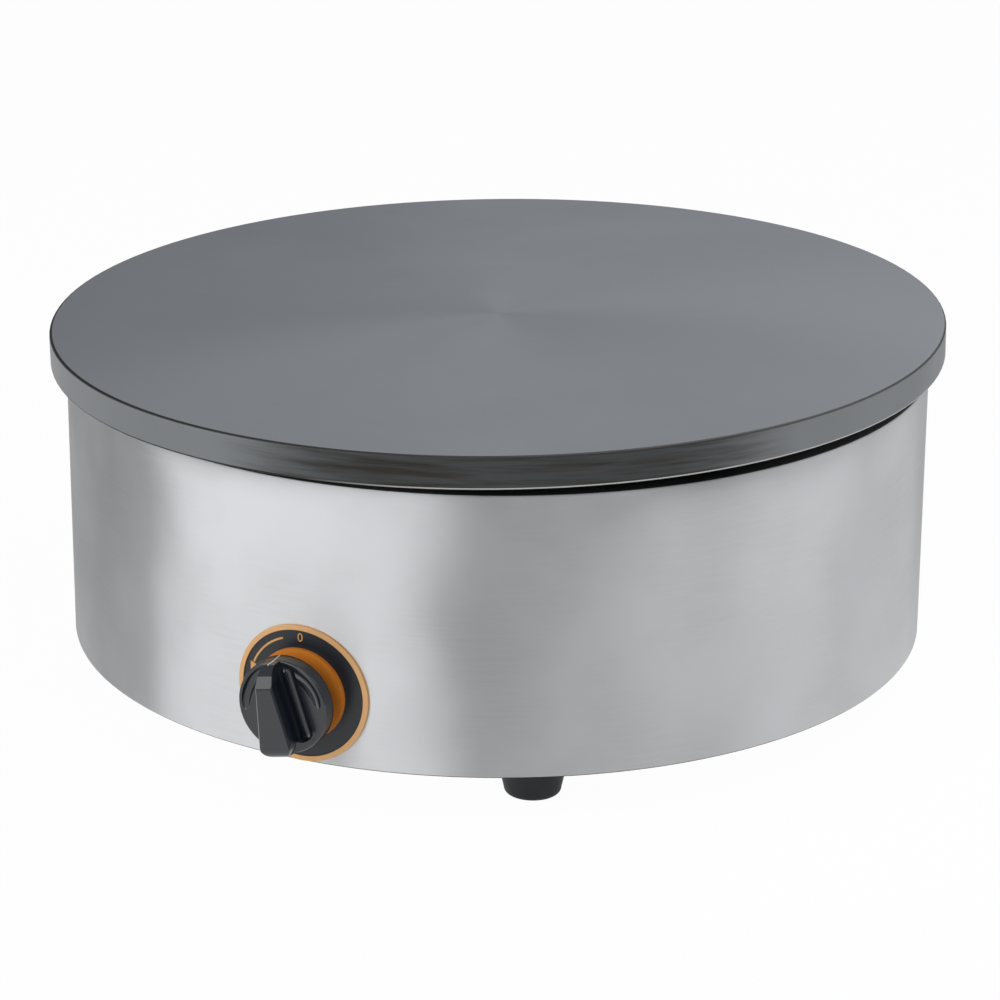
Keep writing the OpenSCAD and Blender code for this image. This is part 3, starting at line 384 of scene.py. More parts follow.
@dataclass(frozen=True)
class BrushedStainless(Finish):
    """Stainless sheet brushed round the drum, with the slow waves that rolling leaves."""

    wave_mm: float = 75.0
    wave_height_mm: float = 3.0  # of the pattern's whole range, so a real wave is far lower
    scuff_mm: float = 1.1
    scuff_tone: str = "#8E9194"
    scuff_share: float = 0.16  # the most that scuffs cover
    patch_range: tuple[float, float] = (0.4, 0.6)  # of the drift, where scuffs come in
    painted_hem_shade_from_mm: float = 141.5  # above this the folded hem is painted black, the shade in the gap under the plate
    painted_hem_shade_mm: float = 141.7
    painted_foot_shade_from_mm: float = 18.8  # below this a dark line of shade is painted along the lower bend
    painted_foot_shade_mm: float = 18.5
    # Painted black shade of the hem under the plate
    painted_hem_shade_tone: str = "#060606"
    # Painted dark shade along the lower bend
    painted_foot_shade_tone: str = "#2B2926"

    def painted_hem_shade(
        self, tree: bpy.types.NodeTree, place: bpy.types.NodeSocket
    ) -> bpy.types.NodeSocket:
        """Gives 1 on the folded hem under the plate, where black shade is painted."""
        return self.beyond(tree, place, UP, self.painted_hem_shade_from_mm, self.painted_hem_shade_mm)

    def painted_foot_shade(
        self, tree: bpy.types.NodeTree, place: bpy.types.NodeSocket
    ) -> bpy.types.NodeSocket:
        """Gives 1 on the lower bend, where dark shade is painted."""
        return self.beyond(tree, place, UP, self.painted_foot_shade_from_mm, self.painted_foot_shade_mm)

    def metal(
        self, tree: bpy.types.NodeTree, place: bpy.types.NodeSocket
    ) -> bpy.types.NodeSocket:
        """Shows bare metal between the painted shade of the hem and that of the lower bend.

        Args:
            tree: the material's tree.
            place: coordinates in metres.

        Returns:
            How far the surface is bare metal.
        """
        painted_shade_cover = add_node(
            tree,
            "Math",
            {0: self.painted_hem_shade(tree, place), 1: self.painted_foot_shade(tree, place)},
            operation="MAXIMUM",
        ).outputs[0]
        return add_node(
            tree, "Math", {0: self.metallic, 1: painted_shade_cover}, operation="SUBTRACT"
        ).outputs[0]

    def scuffed(
        self,
        tree: bpy.types.NodeTree,
        place: bpy.types.NodeSocket,
        drift: bpy.types.NodeSocket,
    ) -> bpy.types.NodeSocket:
        """Gives the cover of the fine scuffs that lie along the brushing, in loose patches.

        Args:
            tree: the material's tree.
            place: coordinates in metres.
            drift: the broad pattern that the patches follow, from 0 to 1.

        Returns:
            The cover, from 0 to the largest share.
        """
        lines = add_node(
            tree,
            "TexNoise",
            {
                "Vector": self.stretched(tree, place, Grain.SMEARED),
                "Scale": 1 / (self.scuff_mm * MM),
                "Detail": FINE_OCTAVES,
            },
        ).outputs["Fac"]
        start, full = self.patch_range
        patch = add_node(
            tree, "MapRange", {"Value": drift, "From Min": start, "From Max": full}
        ).outputs["Result"]
        return self.shared(tree, lines, patch, self.scuff_share)

    def colour(
        self,
        tree: bpy.types.NodeTree,
        place: bpy.types.NodeSocket,
        drift: bpy.types.NodeSocket,
    ) -> bpy.types.NodeSocket:
        """Scuffs the sheet and paints dark shade on the lower bend and black shade on the
        folded hem.

        Args:
            tree: the material's tree.
            place: coordinates in metres.
            drift: the blend of the two tones, from 0 to 1.

        Returns:
            The colour.
        """
        return self.layered(
            tree,
            super().colour(tree, place, drift),
            (
                (self.scuff_tone, self.scuffed(tree, place, drift)),
                (self.painted_foot_shade_tone, self.painted_foot_shade(tree, place)),
                (self.painted_hem_shade_tone, self.painted_hem_shade(tree, place)),
            ),
        )

    def relief(
        self,
        tree: bpy.types.NodeTree,
        place: bpy.types.NodeSocket,
        height: bpy.types.NodeSocket,
    ) -> bpy.types.NodeSocket:
        """Raises the brush lines on top of the sheet's waves.

        Args:
            tree: the material's tree.
            place: coordinates in metres.
            height: the brush lines, from 0 to 1.

        Returns:
            The bent normal.
        """
        waves = add_node(
            tree,
            "TexNoise",
            {
                "Vector": place,
                "Scale": 1 / (self.wave_mm * MM),
                "Detail": WAVE_OCTAVES,
            },
        )
        rolled = add_node(
            tree,
            "Bump",
            {"Height": waves.outputs["Fac"], "Distance": self.wave_height_mm * MM},
        )
        return add_node(
            tree,
            "Bump",
            {
                "Height": height,
                "Distance": self.relief_mm * MM,
                "Normal": rolled.outputs["Normal"],
            },
        ).outputs["Normal"]


@dataclass(frozen=True)
class TurnedIron(Finish):
    """Griddle plate: face ground matt, rim turned bright, oil smears and painted shade on the
    rim.
    """

    plate_axis: Point = (-0.014304, -0.006489, 0.999877)  # the plate leans a little
    rim_from_mm: float = 198.7  # from the drum's axis
    rim_mm: float = 199.3
    rim_metal: float = 0.85
    bare_tone: str = "#808386"
    upper_edge_shade_from_mm: float = 159.7  # along the plate's axis: a dark reflection is painted along the rounded upper edge
    upper_edge_shade_mm: float = 160.1
    # Painted dark tone of the edges: a dark reflection on the upper one, a shadow on the lower
    # one
    painted_edge_shade_tone: str = "#1F1D1B"
    front: Point = (0.4462, -0.8949, 0.0)  # way out to the front right, where a dark reflection is painted on the rim
    painted_shade_side_from_mm: float = 158.0
    painted_shade_side_mm: float = 194.0
    # Painted dark reflection on the front of the rim
    painted_shade_side_tone: str = "#454849"
    smear_mm: float = 2.2
    smear_range: tuple[float, float] = (0.42, 0.7)  # of the noise, where oil comes in
    smear_tone: str = "#36322E"
    # Painted shadow along the rim's lower edge, over the drum
    lower_edge_shadow_from_mm: float = 147.5
    lower_edge_shadow_mm: float = 147.2
    painted_highlight_way: Point = (0.9659, -0.2588, 0.0)  # way out to where a highlight is painted along the lower edge
    painted_highlight_from_mm: float = 45.0
    painted_highlight_mm: float = 110.0
    # Painted highlight along the lower edge's bevel
    painted_highlight_tone: str = "#B9BAB8"

    def on_rim(
        self, tree: bpy.types.NodeTree, place: bpy.types.NodeSocket
    ) -> bpy.types.NodeSocket:
        """Gives 1 on the rim and 0 on the face, from the distance to the drum's axis.

        Args:
            tree: the material's tree.
            place: coordinates in metres.

        Returns:
            The share.
        """
        flat = add_node(
            tree, "VectorMath", {0: place, 1: (1.0, 1.0, 0.0)}, operation="MULTIPLY"
        )
        radius = add_node(
            tree, "VectorMath", {0: flat.outputs["Vector"]}, operation="LENGTH"
        )
        return add_node(
            tree,
            "MapRange",
            {
                "Value": radius.outputs["Value"],
                "From Min": self.rim_from_mm * MM,
                "From Max": self.rim_mm * MM,
            },
            interpolation_type="SMOOTHSTEP",
        ).outputs["Result"]

    def painted_upper_edge(
        self, tree: bpy.types.NodeTree, place: bpy.types.NodeSocket
    ) -> bpy.types.NodeSocket:
        """Gives 1 along the rim's upper edge, where a dark reflection is painted."""
        high = self.beyond(tree, place, self.plate_axis, self.upper_edge_shade_from_mm, self.upper_edge_shade_mm)
        return self.shared(tree, high, self.on_rim(tree, place))

    def metal(
        self, tree: bpy.types.NodeTree, place: bpy.types.NodeSocket
    ) -> bpy.types.NodeSocket:
        """Shows bare metal on the rim alone, except on the painted dark line of its upper
        edge.

        Args:
            tree: the material's tree.
            place: coordinates in metres.

        Returns:
            How far the surface is bare metal.
        """
        bare = add_node(
            tree, "Math", {0: 1.0, 1: self.painted_upper_edge(tree, place)}, operation="SUBTRACT"
        ).outputs[0]
        return self.shared(tree, bare, self.on_rim(tree, place), self.rim_metal)

    def colour(
        self,
        tree: bpy.types.NodeTree,
        place: bpy.types.NodeSocket,
        drift: bpy.types.NodeSocket,
    ) -> bpy.types.NodeSocket:
        """Paints a dark reflection on the rim's front, smears oil there, paints shade on both
        edges and a highlight on the lower one.

        Args:
            tree: the material's tree.
            place: coordinates in metres.
            drift: the blend of the two tones, from 0 to 1.

        Returns:
            The colour.
        """
        streaks = add_node(
            tree,
            "TexNoise",
            {
                "Vector": self.stretched(tree, place, Grain.SMEARED),
                "Scale": 1 / (self.smear_mm * MM),
                "Detail": SMEAR_OCTAVES,
            },
        ).outputs["Fac"]
        start, full = self.smear_range
        oily = add_node(
            tree, "MapRange", {"Value": streaks, "From Min": start, "From Max": full}
        ).outputs["Result"]
        rim = self.on_rim(tree, place)
        out_to_painted_shade = self.beyond(
            tree, place, self.front, self.painted_shade_side_from_mm, self.painted_shade_side_mm
        )
        # the rim's front, where a dark reflection is painted
        front = self.shared(tree, out_to_painted_shade, rim)
        low = self.beyond(
            tree, place, self.plate_axis, self.lower_edge_shadow_from_mm, self.lower_edge_shadow_mm
        )
        lower_edge_shadow = self.shared(tree, low, rim)
        painted_highlight_side = self.beyond(tree, place, self.painted_highlight_way, self.painted_highlight_from_mm, self.painted_highlight_mm)
        return self.layered(
            tree,
            super().colour(tree, place, drift),
            (
                # Painted dark reflection on the front with oil stains in it, painted shadow on
                # the lower edge, a painted highlight on its right, a painted dark reflection
                # on the upper edge
                (self.bare_tone, rim),
                (self.painted_shade_side_tone, front),
                (self.smear_tone, self.shared(tree, oily, front)),
                (self.painted_edge_shade_tone, lower_edge_shadow),
                (self.painted_highlight_tone, self.shared(tree, lower_edge_shadow, painted_highlight_side)),
                (self.painted_edge_shade_tone, self.painted_upper_edge(tree, place)),
            ),
        )


# Blurs a reflection across brush lines that run round the drum, so up and down
ANISOTROPIC_ROUND = (("Anisotropic", 1.0), ("Anisotropic Rotation", 0.25))


def silicone(colour: str, tone: str, second_tone: str) -> Finish:
    """Gives the silicone jacket of a lead: coloured right through, with a waxy sheen."""
    return Finish(
        f"{colour}_silicone", tone, second_tone, drift_mm=9.0, grain_mm=0.4, relief_mm=0.01
    )


# Brush lines, turning marks and the orange peel of a lacquer are really 0.02 to 0.1 mm wide,
# too fine to show, so they are drawn 0.2 to 0.7 mm wide
FINISHES: dict[str, Finish] = {
    # Cast iron ground flat and burnished: an even satin grey, a shade browner where oil has
    # dried, with turned rings that draw a lamp's reflection out from front to back
    "griddle_iron": TurnedIron(
        "turned_cast_iron",
        "#777B7F",
        "#717479",
        roughness=0.45,
        drift_mm=60.0,
        grain_mm=0.35,
        relief_mm=0.012,
        sockets=(("Anisotropic", 0.8),),
    ),
    # Brushed 304 sheet: fine lines round the drum that draw every light out up and down
    "drum_steel": BrushedStainless(
        "brushed_stainless",
        "#D6D8DB",
        "#DEDFE1",
        metallic=1.0,
        gloss_drift=0.02,
        drift_mm=45.0,
        grain_mm=0.5,
        relief_mm=0.004,
        grain=Grain.ROUND_THE_DRUM,
        sockets=ANISOTROPIC_ROUND,
    ),
    # Galvanised sheet inside the drum: dull, with a cloudy zinc skin
    "plated_steel": Finish(
        "galvanised_sheet",
        "#A3A6A8",
        "#8F9396",
        metallic=1.0,
        roughness=0.42,
        gloss_drift=0.08,
        drift_mm=12.0,
        grain_mm=0.6,
        relief_mm=0.01,
    ),
    # Bright zinc plate on screws, nuts and studs: clean and a little milky
    "fastener_steel": Finish(
        "bright_zinc",
        "#B9BABC",
        "#A9ABAE",
        metallic=1.0,
        roughness=0.28,
        gloss_drift=0.06,
        drift_mm=6.0,
        grain_mm=0.4,
        relief_mm=0.004,
    ),
    # Moulded rubber: matt, almost black, with a faint grey bloom
    "foot_rubber": Finish(
        "moulded_rubber",
        "#14181C",
        "#1B2024",
        roughness=0.62,
        gloss_drift=0.08,
        drift_mm=14.0,
        grain_mm=0.7,
        sockets=(("IOR", 1.4),),
    ),
    # Nitrile rubber of the seals: dark grey, a little slick
    "seal_rubber": Finish(
        "nitrile_rubber",
        "#26272A",
        "#303236",
        roughness=0.55,
        gloss_drift=0.06,
        drift_mm=8.0,
        grain_mm=0.6,
        relief_mm=0.015,
    ),
    # Heater sheath: nickel steel that the first heating has browned
    "element_sheath": Finish(
        "heat_browned_sheath",
        "#4E4A46",
        "#5F5751",
        metallic=0.9,
        roughness=0.48,
        gloss_drift=0.1,
        drift_mm=18.0,
        grain_mm=0.5,
        relief_mm=0.01,
    ),
    # Unglazed steatite: chalky off-white
    "ceramic": Finish(
        "unglazed_steatite",
        "#E4DFD0",
        "#D8D2C2",
        roughness=0.7,
        drift_mm=8.0,
        grain_mm=0.3,
        relief_mm=0.01,
    ),
    # Pressed ceramic fibre: soft off-white board
    "fibre_board": Finish(
        "ceramic_fibre_board",
        "#DDD8C8",
        "#CFC9B8",
        roughness=0.9,
        gloss_drift=0.04,
        drift_mm=20.0,
        grain_mm=1.2,
        relief_mm=0.12,
    ),
    # Drawn copper: pinkish brown, dulled by handling
    "copper": Finish(
        "drawn_copper",
        "#B87750",
        "#A76443",
        metallic=1.0,
        roughness=0.32,
        gloss_drift=0.08,
        drift_mm=10.0,
        grain_mm=0.4,
        relief_mm=0.004,
    ),
    # Turned brass of the terminals: pale yellow, bright from the tool
    "terminal_brass": Finish(
        "turned_brass",
        "#C9AE68",
        "#BCA05A",
        metallic=1.0,
        roughness=0.3,
        gloss_drift=0.06,
        drift_mm=8.0,
        grain_mm=0.3,
        relief_mm=0.004,
    ),
    # Black phenolic moulding: deep black with a clear gloss
    "knob_plastic": Finish(
        "moulded_phenolic",
        "#141B24",
        "#10161E",
        roughness=0.2,
        gloss_drift=0.04,
        drift_mm=12.0,
        grain_mm=0.35,
        relief_mm=0.004,
        sockets=(("IOR", 1.66),),
    ),
    # Satin black lacquer on the dial plate: an even black that keeps a soft highlight
    "dial_black": Finish(
        "satin_black_lacquer",
        "#15191F",
        "#1A1F26",
        roughness=0.34,
        gloss_drift=0.04,
        drift_mm=16.0,
        grain_mm=0.3,
        relief_mm=0.004,
    ),
    # Gold lacquer ring: peach-gold with a soft metal sheen
    "dial_gold": Finish(
        "gold_lacquer",
        "#E2B27C",
        "#DCA96E",
        metallic=0.35,
        roughness=0.33,
        drift_mm=10.0,
        grain_mm=0.3,
        relief_mm=0.004,
    ),
    # Orange enamel on the collar: a full, warm colour with a satin skin
    "dial_orange": Finish(
        "orange_enamel",
        "#E68B2E",
        "#DC802A",
        roughness=0.38,
        gloss_drift=0.04,
        drift_mm=14.0,
        grain_mm=0.3,
        relief_mm=0.004,
    ),
    "lead_brown": silicone("brown", "#6B4226", "#5E3A22"),
    "lead_black": silicone("black", "#2A2A2B", "#333334"),
    "lead_blue": silicone("blue", "#2C5490", "#274B82"),
    "lead_green": silicone("green", "#6E9A3C", "#628B34"),
    # Moulded polyamide of the cable gland: near black with an eggshell gloss
    "gland_plastic": Finish(
        "moulded_polyamide",
        "#202124",
        "#27292C",
        roughness=0.46,
        drift_mm=9.0,
        grain_mm=0.5,
        relief_mm=0.012,
    ),
}

# Screen-printed gold ink of the dial's marks: a matt gold film
GOLD_INK = Finish(
    "gold_ink",
    "#DDAA66",
    "#D39C55",
    metallic=0.2,
    roughness=0.45,
    drift_mm=3.0,
    grain_mm=0.2,
    relief_mm=0.003,
)
# White filler wiped into the knob's index line: matt and slightly off-white
WHITE_FILLER = Finish(
    "white_filler",
    "#E8E8E6",
    "#DEDEDC",
    roughness=0.45,
    drift_mm=3.0,
    grain_mm=0.2,
    relief_mm=0.003,
)


class Palette:
    """The materials that are made so far, one for each finish."""

    def __init__(self) -> None:
        """Starts with none made."""
        self.made: dict[str, bpy.types.Material] = {}

    def of(self, finish: Finish) -> bpy.types.Material:
        """Gives the material of a finish, which is made once.

        Args:
            finish: what it shows.

        Returns:
            The material.
        """
        if finish.name not in self.made:
            self.made[finish.name] = finish.build()
        return self.made[finish.name]

    def dress(self, obj: bpy.types.Object, finish: Finish) -> None:
        """Gives an object one finish all over."""
        obj.data.materials.clear()
        obj.data.materials.append(self.of(finish))


# ---- Meshes ----


def to_object(name: str, mesh: bmesh.types.BMesh) -> bpy.types.Object:
    """Turns a finished bmesh into a linked object at the origin.

    Args:
        name: the piece's name.
        mesh: its shape, in metres in the object's frame; it is freed.

    Returns:
        The new object.
    """
    bmesh.ops.remove_doubles(mesh, verts=mesh.verts, dist=MERGE_DISTANCE)
    bmesh.ops.recalc_face_normals(mesh, faces=mesh.faces)
    data = bpy.data.meshes.new(name)
    mesh.to_mesh(data)
    mesh.free()
    obj = bpy.data.objects.new(name, data)
    bpy.context.scene.collection.objects.link(obj)
    return obj


def at_bearing(bearing: float, distance: float, height: float) -> Matrix:
    """Gives a place round the drum, turned to face outwards.

    Args:
        bearing: degrees from the front, towards the right.
        distance: from the drum's axis, in millimetres.
        height: in millimetres.

    Returns:
        The turn and the move.
    """
    turn = Matrix.Rotation(math.radians(bearing), 4, "Z")
    return turn @ Matrix.Translation((0.0, -distance * MM, height * MM))


def turn_upright(
    mesh: bmesh.types.BMesh, verts: Iterable[bmesh.types.BMVert], angle: float
) -> None:
    """Turns points about the z axis, by an angle in radians."""
    turn = Matrix.Rotation(angle, 3, "Z")
    bmesh.ops.rotate(mesh, verts=verts, cent=ORIGIN, matrix=turn)


def spin_upright(
    mesh: bmesh.types.BMesh,
    section: list[bmesh.types.BMVert | bmesh.types.BMEdge | bmesh.types.BMFace],
    angle: float,
    steps: int,
    whole: bool = False,
) -> None:
    """Spins a section about the z axis.

    Args:
        mesh: the mesh that holds it.
        section: its points, edges and faces.
        angle: how far it goes, in radians.
        steps: how many times it is copied on the way.
        whole: whether the last copy joins the first.
    """
    bmesh.ops.spin(
        mesh,
        geom=section,
        cent=ORIGIN,
        axis=UP,
        angle=angle,
        steps=steps,
        use_merge=whole,
    )


def shade(obj: bpy.types.Object) -> None:
    """Shades a rounded piece smooth between its crisp edges."""
    obj.data.shade_smooth()
    obj.data.set_sharp_from_angle(angle=SHARP_ANGLE)


@dataclass
class CarriedSolids:
    """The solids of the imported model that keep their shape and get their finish."""

    nodes: Mapping[str, bpy.types.Object]

    def dress(self, palette: Palette) -> None:
        """Gives every solid the finish that its material slot names.

        Args:
            palette: where the materials are kept.
        """
        for name, node in sorted(self.nodes.items()):
            palette.dress(node, FINISHES[node.data.materials[0].name])
            LOG.info("dressed %s", name)


@dataclass
class DrumShell:
    """The drum's wall in one sheet: flanged in at the foot, hemmed in at the top, open seam.

    Sizes are in millimetres and bearings in degrees from the front.
    """

    radius: float = 193.0
    sheet: float = 1.0
    low: float = 18.0
    high: float = 142.0
    flange_r: float = 176.0
    hem_r: float = 185.0
    bend_r: float = 1.2  # outside
    bend_steps: int = 5
    seam_at: float = 150.0
    seam_gap: float = 0.5
    spindle_hole: tuple[float, float, float] = (0.0, 49.0, 6.0)  # bearing, height, radius
    gland_hole: tuple[float, float, float] = (180.0, 47.3, 10.25)
    screw_count: int = 6
    screw_from: float = 15.0
    screw_pitch_r: float = 182.0
    screw_hole_r: float = 2.25
    punch_l: float = 12.0
    punch_sides: int = 48
    steps: int = 360

    def outline(self) -> list[tuple[float, float]]:
        """Gives the sheet's section as distances from the axis and heights.

        Returns:
            The corners, once round.
        """
        outer: list[tuple[float, float]] = [(self.flange_r, self.low)]
        inner: list[tuple[float, float]] = [(self.flange_r, self.low + self.sheet)]
        middle_r = self.radius - self.bend_r
        for middle_z, start in (
            (self.low + self.bend_r, -90),
            (self.high - self.bend_r, 0),
        ):
            for step in range(self.bend_steps + 1):
                angle = math.radians(start + 90 * step / self.bend_steps)
                way = (math.cos(angle), math.sin(angle))
                for line, bend in ((outer, self.bend_r), (inner, self.bend_r - self.sheet)):
                    line.append((middle_r + bend * way[0], middle_z + bend * way[1]))
        outer.append((self.hem_r, self.high))
        inner.append((self.hem_r, self.high - self.sheet))
        return outer + inner[::-1]

    def rolled(self) -> bpy.types.Object:
        """Rolls the section round from one side of the seam to the other.

        Returns:
            The drum without its holes.
        """
        mesh = bmesh.new()
        corners = [mesh.verts.new((0.0, -r * MM, z * MM)) for r, z in self.outline()]
        section = mesh.faces.new(corners)
        half_gap = math.asin(self.seam_gap / 2 / self.radius)
        turn_upright(mesh, corners, math.radians(self.seam_at) + half_gap)
        spin_upright(
            mesh,
            [section, *section.edges, *corners],
            2 * (math.pi - half_gap),
            self.steps,
        )
        return to_object("drum_shell", mesh)

    def punches(self) -> bpy.types.Object:
        """Makes the tools that punch every hole.

        Returns:
            All the punches as one object.
        """
        mesh = bmesh.new()
        through_wall = Matrix.Rotation(QUARTER_TURN, 4, "X")
        for bearing, height, radius in (self.spindle_hole, self.gland_hole):
            place = at_bearing(bearing, self.radius, height) @ through_wall
            self.punch(mesh, radius, place)
        for number in range(self.screw_count):
            bearing = self.screw_from + 360 * number / self.screw_count
            place = at_bearing(bearing, self.screw_pitch_r, self.low)
            self.punch(mesh, self.screw_hole_r, place)
        return to_object("drum_punches", mesh)

    def punch(self, mesh: bmesh.types.BMesh, radius: float, place: Matrix) -> None:
        """Adds one round punch.

        Args:
            mesh: the mesh that it goes into.
            radius: in millimetres.
            place: where its middle goes and which way it points.
        """
        bmesh.ops.create_cone(
            mesh,
            cap_ends=True,
            segments=self.punch_sides,
            radius1=radius * MM,
            radius2=radius * MM,
            depth=self.punch_l * MM,
            matrix=place,
        )

    def build(self, palette: Palette) -> None:
        """Rolls, punches and dresses the drum in place of its plainer solid.

        Args:
            palette: where the materials are kept.
        """
        rolled, punches = self.rolled(), self.punches()
        cut = rolled.modifiers.new("holes", "BOOLEAN")
        cut.operation = "DIFFERENCE"
        cut.solver = "EXACT"
        cut.object = punches
        bpy.context.view_layer.update()
        shaped = bpy.data.meshes.new_from_object(
            rolled.evaluated_get(bpy.context.evaluated_depsgraph_get())
        )
        rolled.modifiers.clear()
        rolled.data = shaped
        bpy.data.objects.remove(punches)
        shade(rolled)
        palette.dress(rolled, FINISHES["drum_steel"])
        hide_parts("body_drum")
        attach(rolled, "base")
        LOG.info("made %s", rolled.name)


@dataclass
class RubberFeet:
    """Four tapered feet, each turned about its screw and open below for the screw's head.

    Sizes are in millimetres and bearings in degrees from the front.
    """

    pitch_r: float = 165.0
    first_at: float = 30.0
    count: int = 4
    height: float = 16.8
    ground_r: float = 12.2
    top_r: float = 15.4
    edge_r: float = 2.5
    edge_steps: int = 6
    recess_r: float = 6.5
    recess_h: float = 9.24
    hole_r: float = 2.75
    steps: int = 72

    def outline(self) -> list[tuple[float, float]]:
        """Gives a foot's section as distances from its axis and heights.

        Returns:
            The corners, once round.
        """
        inside = [
            (self.hole_r, self.height),
            (self.hole_r, self.recess_h),
            (self.recess_r, self.recess_h),
            (self.recess_r, 0.0),
        ]
        edge = []
        for step in range(self.edge_steps + 1):
            angle = math.radians(90 * step / self.edge_steps)
            edge.append(
                (
                    self.ground_r - self.edge_r * (1 - math.sin(angle)),
                    self.edge_r * (1 - math.cos(angle)),
                )
            )
        return [*inside, *edge, (self.top_r, self.height)]

    def turned(self, name: str, bearing: float) -> bpy.types.Object:
        """Turns one foot and sets it in its place.

        Args:
            name: of the piece.
            bearing: of its screw.

        Returns:
            The foot.
        """
        mesh = bmesh.new()
        corners = [mesh.verts.new((r * MM, 0.0, z * MM)) for r, z in self.outline()]
        sides = [
            mesh.edges.new((start, end))
            for start, end in zip(corners, [*corners[1:], corners[0]])
        ]
        spin_upright(mesh, [*corners, *sides], 2 * math.pi, self.steps, whole=True)
        place = at_bearing(bearing, self.pitch_r, 0.0)
        bmesh.ops.transform(mesh, matrix=place, verts=mesh.verts)
        return to_object(name, mesh)

    def build(self, palette: Palette) -> None:
        """Turns and dresses every foot in place of its plainer solid.

        Args:
            palette: where the materials are kept.
        """
        for number in range(self.count):
            bearing = self.first_at + 360 * number / self.count
            foot = self.turned(f"turned_foot_{number + 1}", bearing)
            shade(foot)
            palette.dress(foot, FINISHES["foot_rubber"])
            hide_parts(f"foot_{number + 1}")
            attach(foot, "base")
            LOG.info("made %s", foot.name)


# Width and height of the three-sided circle of radius one that the arrowhead starts from
TRIANGLE_W = math.sqrt(3)
TRIANGLE_H = 1.5
# Type size for a digit that is one high
SIZE_PER_HEIGHT = 1.35


@dataclass
class DialMarks:
    """The marks printed on the dial plate, which bends with the drum.

    Sizes are in millimetres and angles in degrees from the top, against the clock.
    """

    face_r: float = 194.0  # from the drum's axis to the dial plate's face
    centre_z: float = 49.0
    ink_t: float = 0.06
    mark_r: float = 24.5
    line_w: float = 0.85
    arc_from: float = 19.5
    arc_to: float = 66.5
    arrow_at: float = 71.0
    arrow_l: float = 4.4
    arrow_w: float = 3.1
    zero_h: float = 4.0
    zero_steps: int = 6
    steps: int = 40

    def on_dial(self, mesh: bmesh.types.BMesh) -> None:
        """Lays flat marks, drawn with x right, y up and z out, on the curved dial.

        Args:
            mesh: the marks in millimetres; it is changed to metres in the object's frame.
        """
        for vert in mesh.verts:
            x, y, out = vert.co
            bend = math.sqrt(self.face_r**2 - x**2)
            vert.co = Vector((x, -bend - out, self.centre_z + y)) * MM

    def arc(self) -> bpy.types.Object:
        """Makes the curved line that shows the way to turn.

        Returns:
            The printed line.
        """
        mesh = bmesh.new()
        half = self.line_w / 2
        corners = [
            mesh.verts.new((0, self.mark_r + r, z))
            for r, z in ((-half, 0), (half, 0), (half, self.ink_t), (-half, self.ink_t))
        ]
        section = mesh.faces.new(corners)
        turn_upright(mesh, corners, math.radians(self.arc_from))
        spin_upright(
            mesh,
            [section, *section.edges, *corners],
            math.radians(self.arc_to - self.arc_from),
            self.steps,
        )
        self.on_dial(mesh)
        return to_object("dial_arc", mesh)

    def arrow(self) -> bpy.types.Object:
        """Makes the arrowhead at the arc's end.

        Returns:
            The printed arrowhead.
        """
        mesh = bmesh.new()
        bmesh.ops.create_circle(mesh, cap_ends=True, radius=1.0, segments=3)
        grown = bmesh.ops.extrude_face_region(mesh, geom=mesh.faces[:])
        bmesh.ops.translate(
            mesh,
            verts=[v for v in grown["geom"] if isinstance(v, bmesh.types.BMVert)],
            vec=(0, 0, self.ink_t),
        )
        bmesh.ops.scale(
            mesh,
            verts=mesh.verts,
            vec=(self.arrow_w / TRIANGLE_W, self.arrow_l / TRIANGLE_H, 1.0),
        )
        turn_upright(mesh, mesh.verts, QUARTER_TURN)
        bmesh.ops.translate(mesh, verts=mesh.verts, vec=(0, self.mark_r, 0))
        turn_upright(mesh, mesh.verts, math.radians(self.arrow_at))
        self.on_dial(mesh)
        return to_object("dial_arrow", mesh)

    def zero(self) -> bpy.types.Object:
        """Makes the 0 at the top of the dial.

        Returns:
            The printed number.
        """
        curve = bpy.data.curves.new("zero_text", "FONT")
        curve.body = "0"
        curve.size = self.zero_h * SIZE_PER_HEIGHT
        curve.align_x = "CENTER"
        curve.align_y = "CENTER"
        curve.extrude = self.ink_t / 2
        curve.resolution_u = self.zero_steps
        text = bpy.data.objects.new("zero_text", curve)
        bpy.context.scene.collection.objects.link(text)
        bpy.context.view_layer.update()
        flat = bpy.data.meshes.new_from_object(text)
        bpy.data.objects.remove(text)
        mesh = bmesh.new()
        mesh.from_mesh(flat)
        bpy.data.meshes.remove(flat)
        bmesh.ops.translate(
            mesh, verts=mesh.verts, vec=(0, self.mark_r, self.ink_t / 2)
        )
        self.on_dial(mesh)
        return to_object("dial_zero", mesh)

    def build(self, palette: Palette) -> None:
        """Makes and inks every mark.

        Args:
            palette: where the materials are kept.
        """
        for piece in (self.arc(), self.arrow(), self.zero()):
            palette.dress(piece, GOLD_INK)
            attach(piece, "base")
            LOG.info("made %s", piece.name)


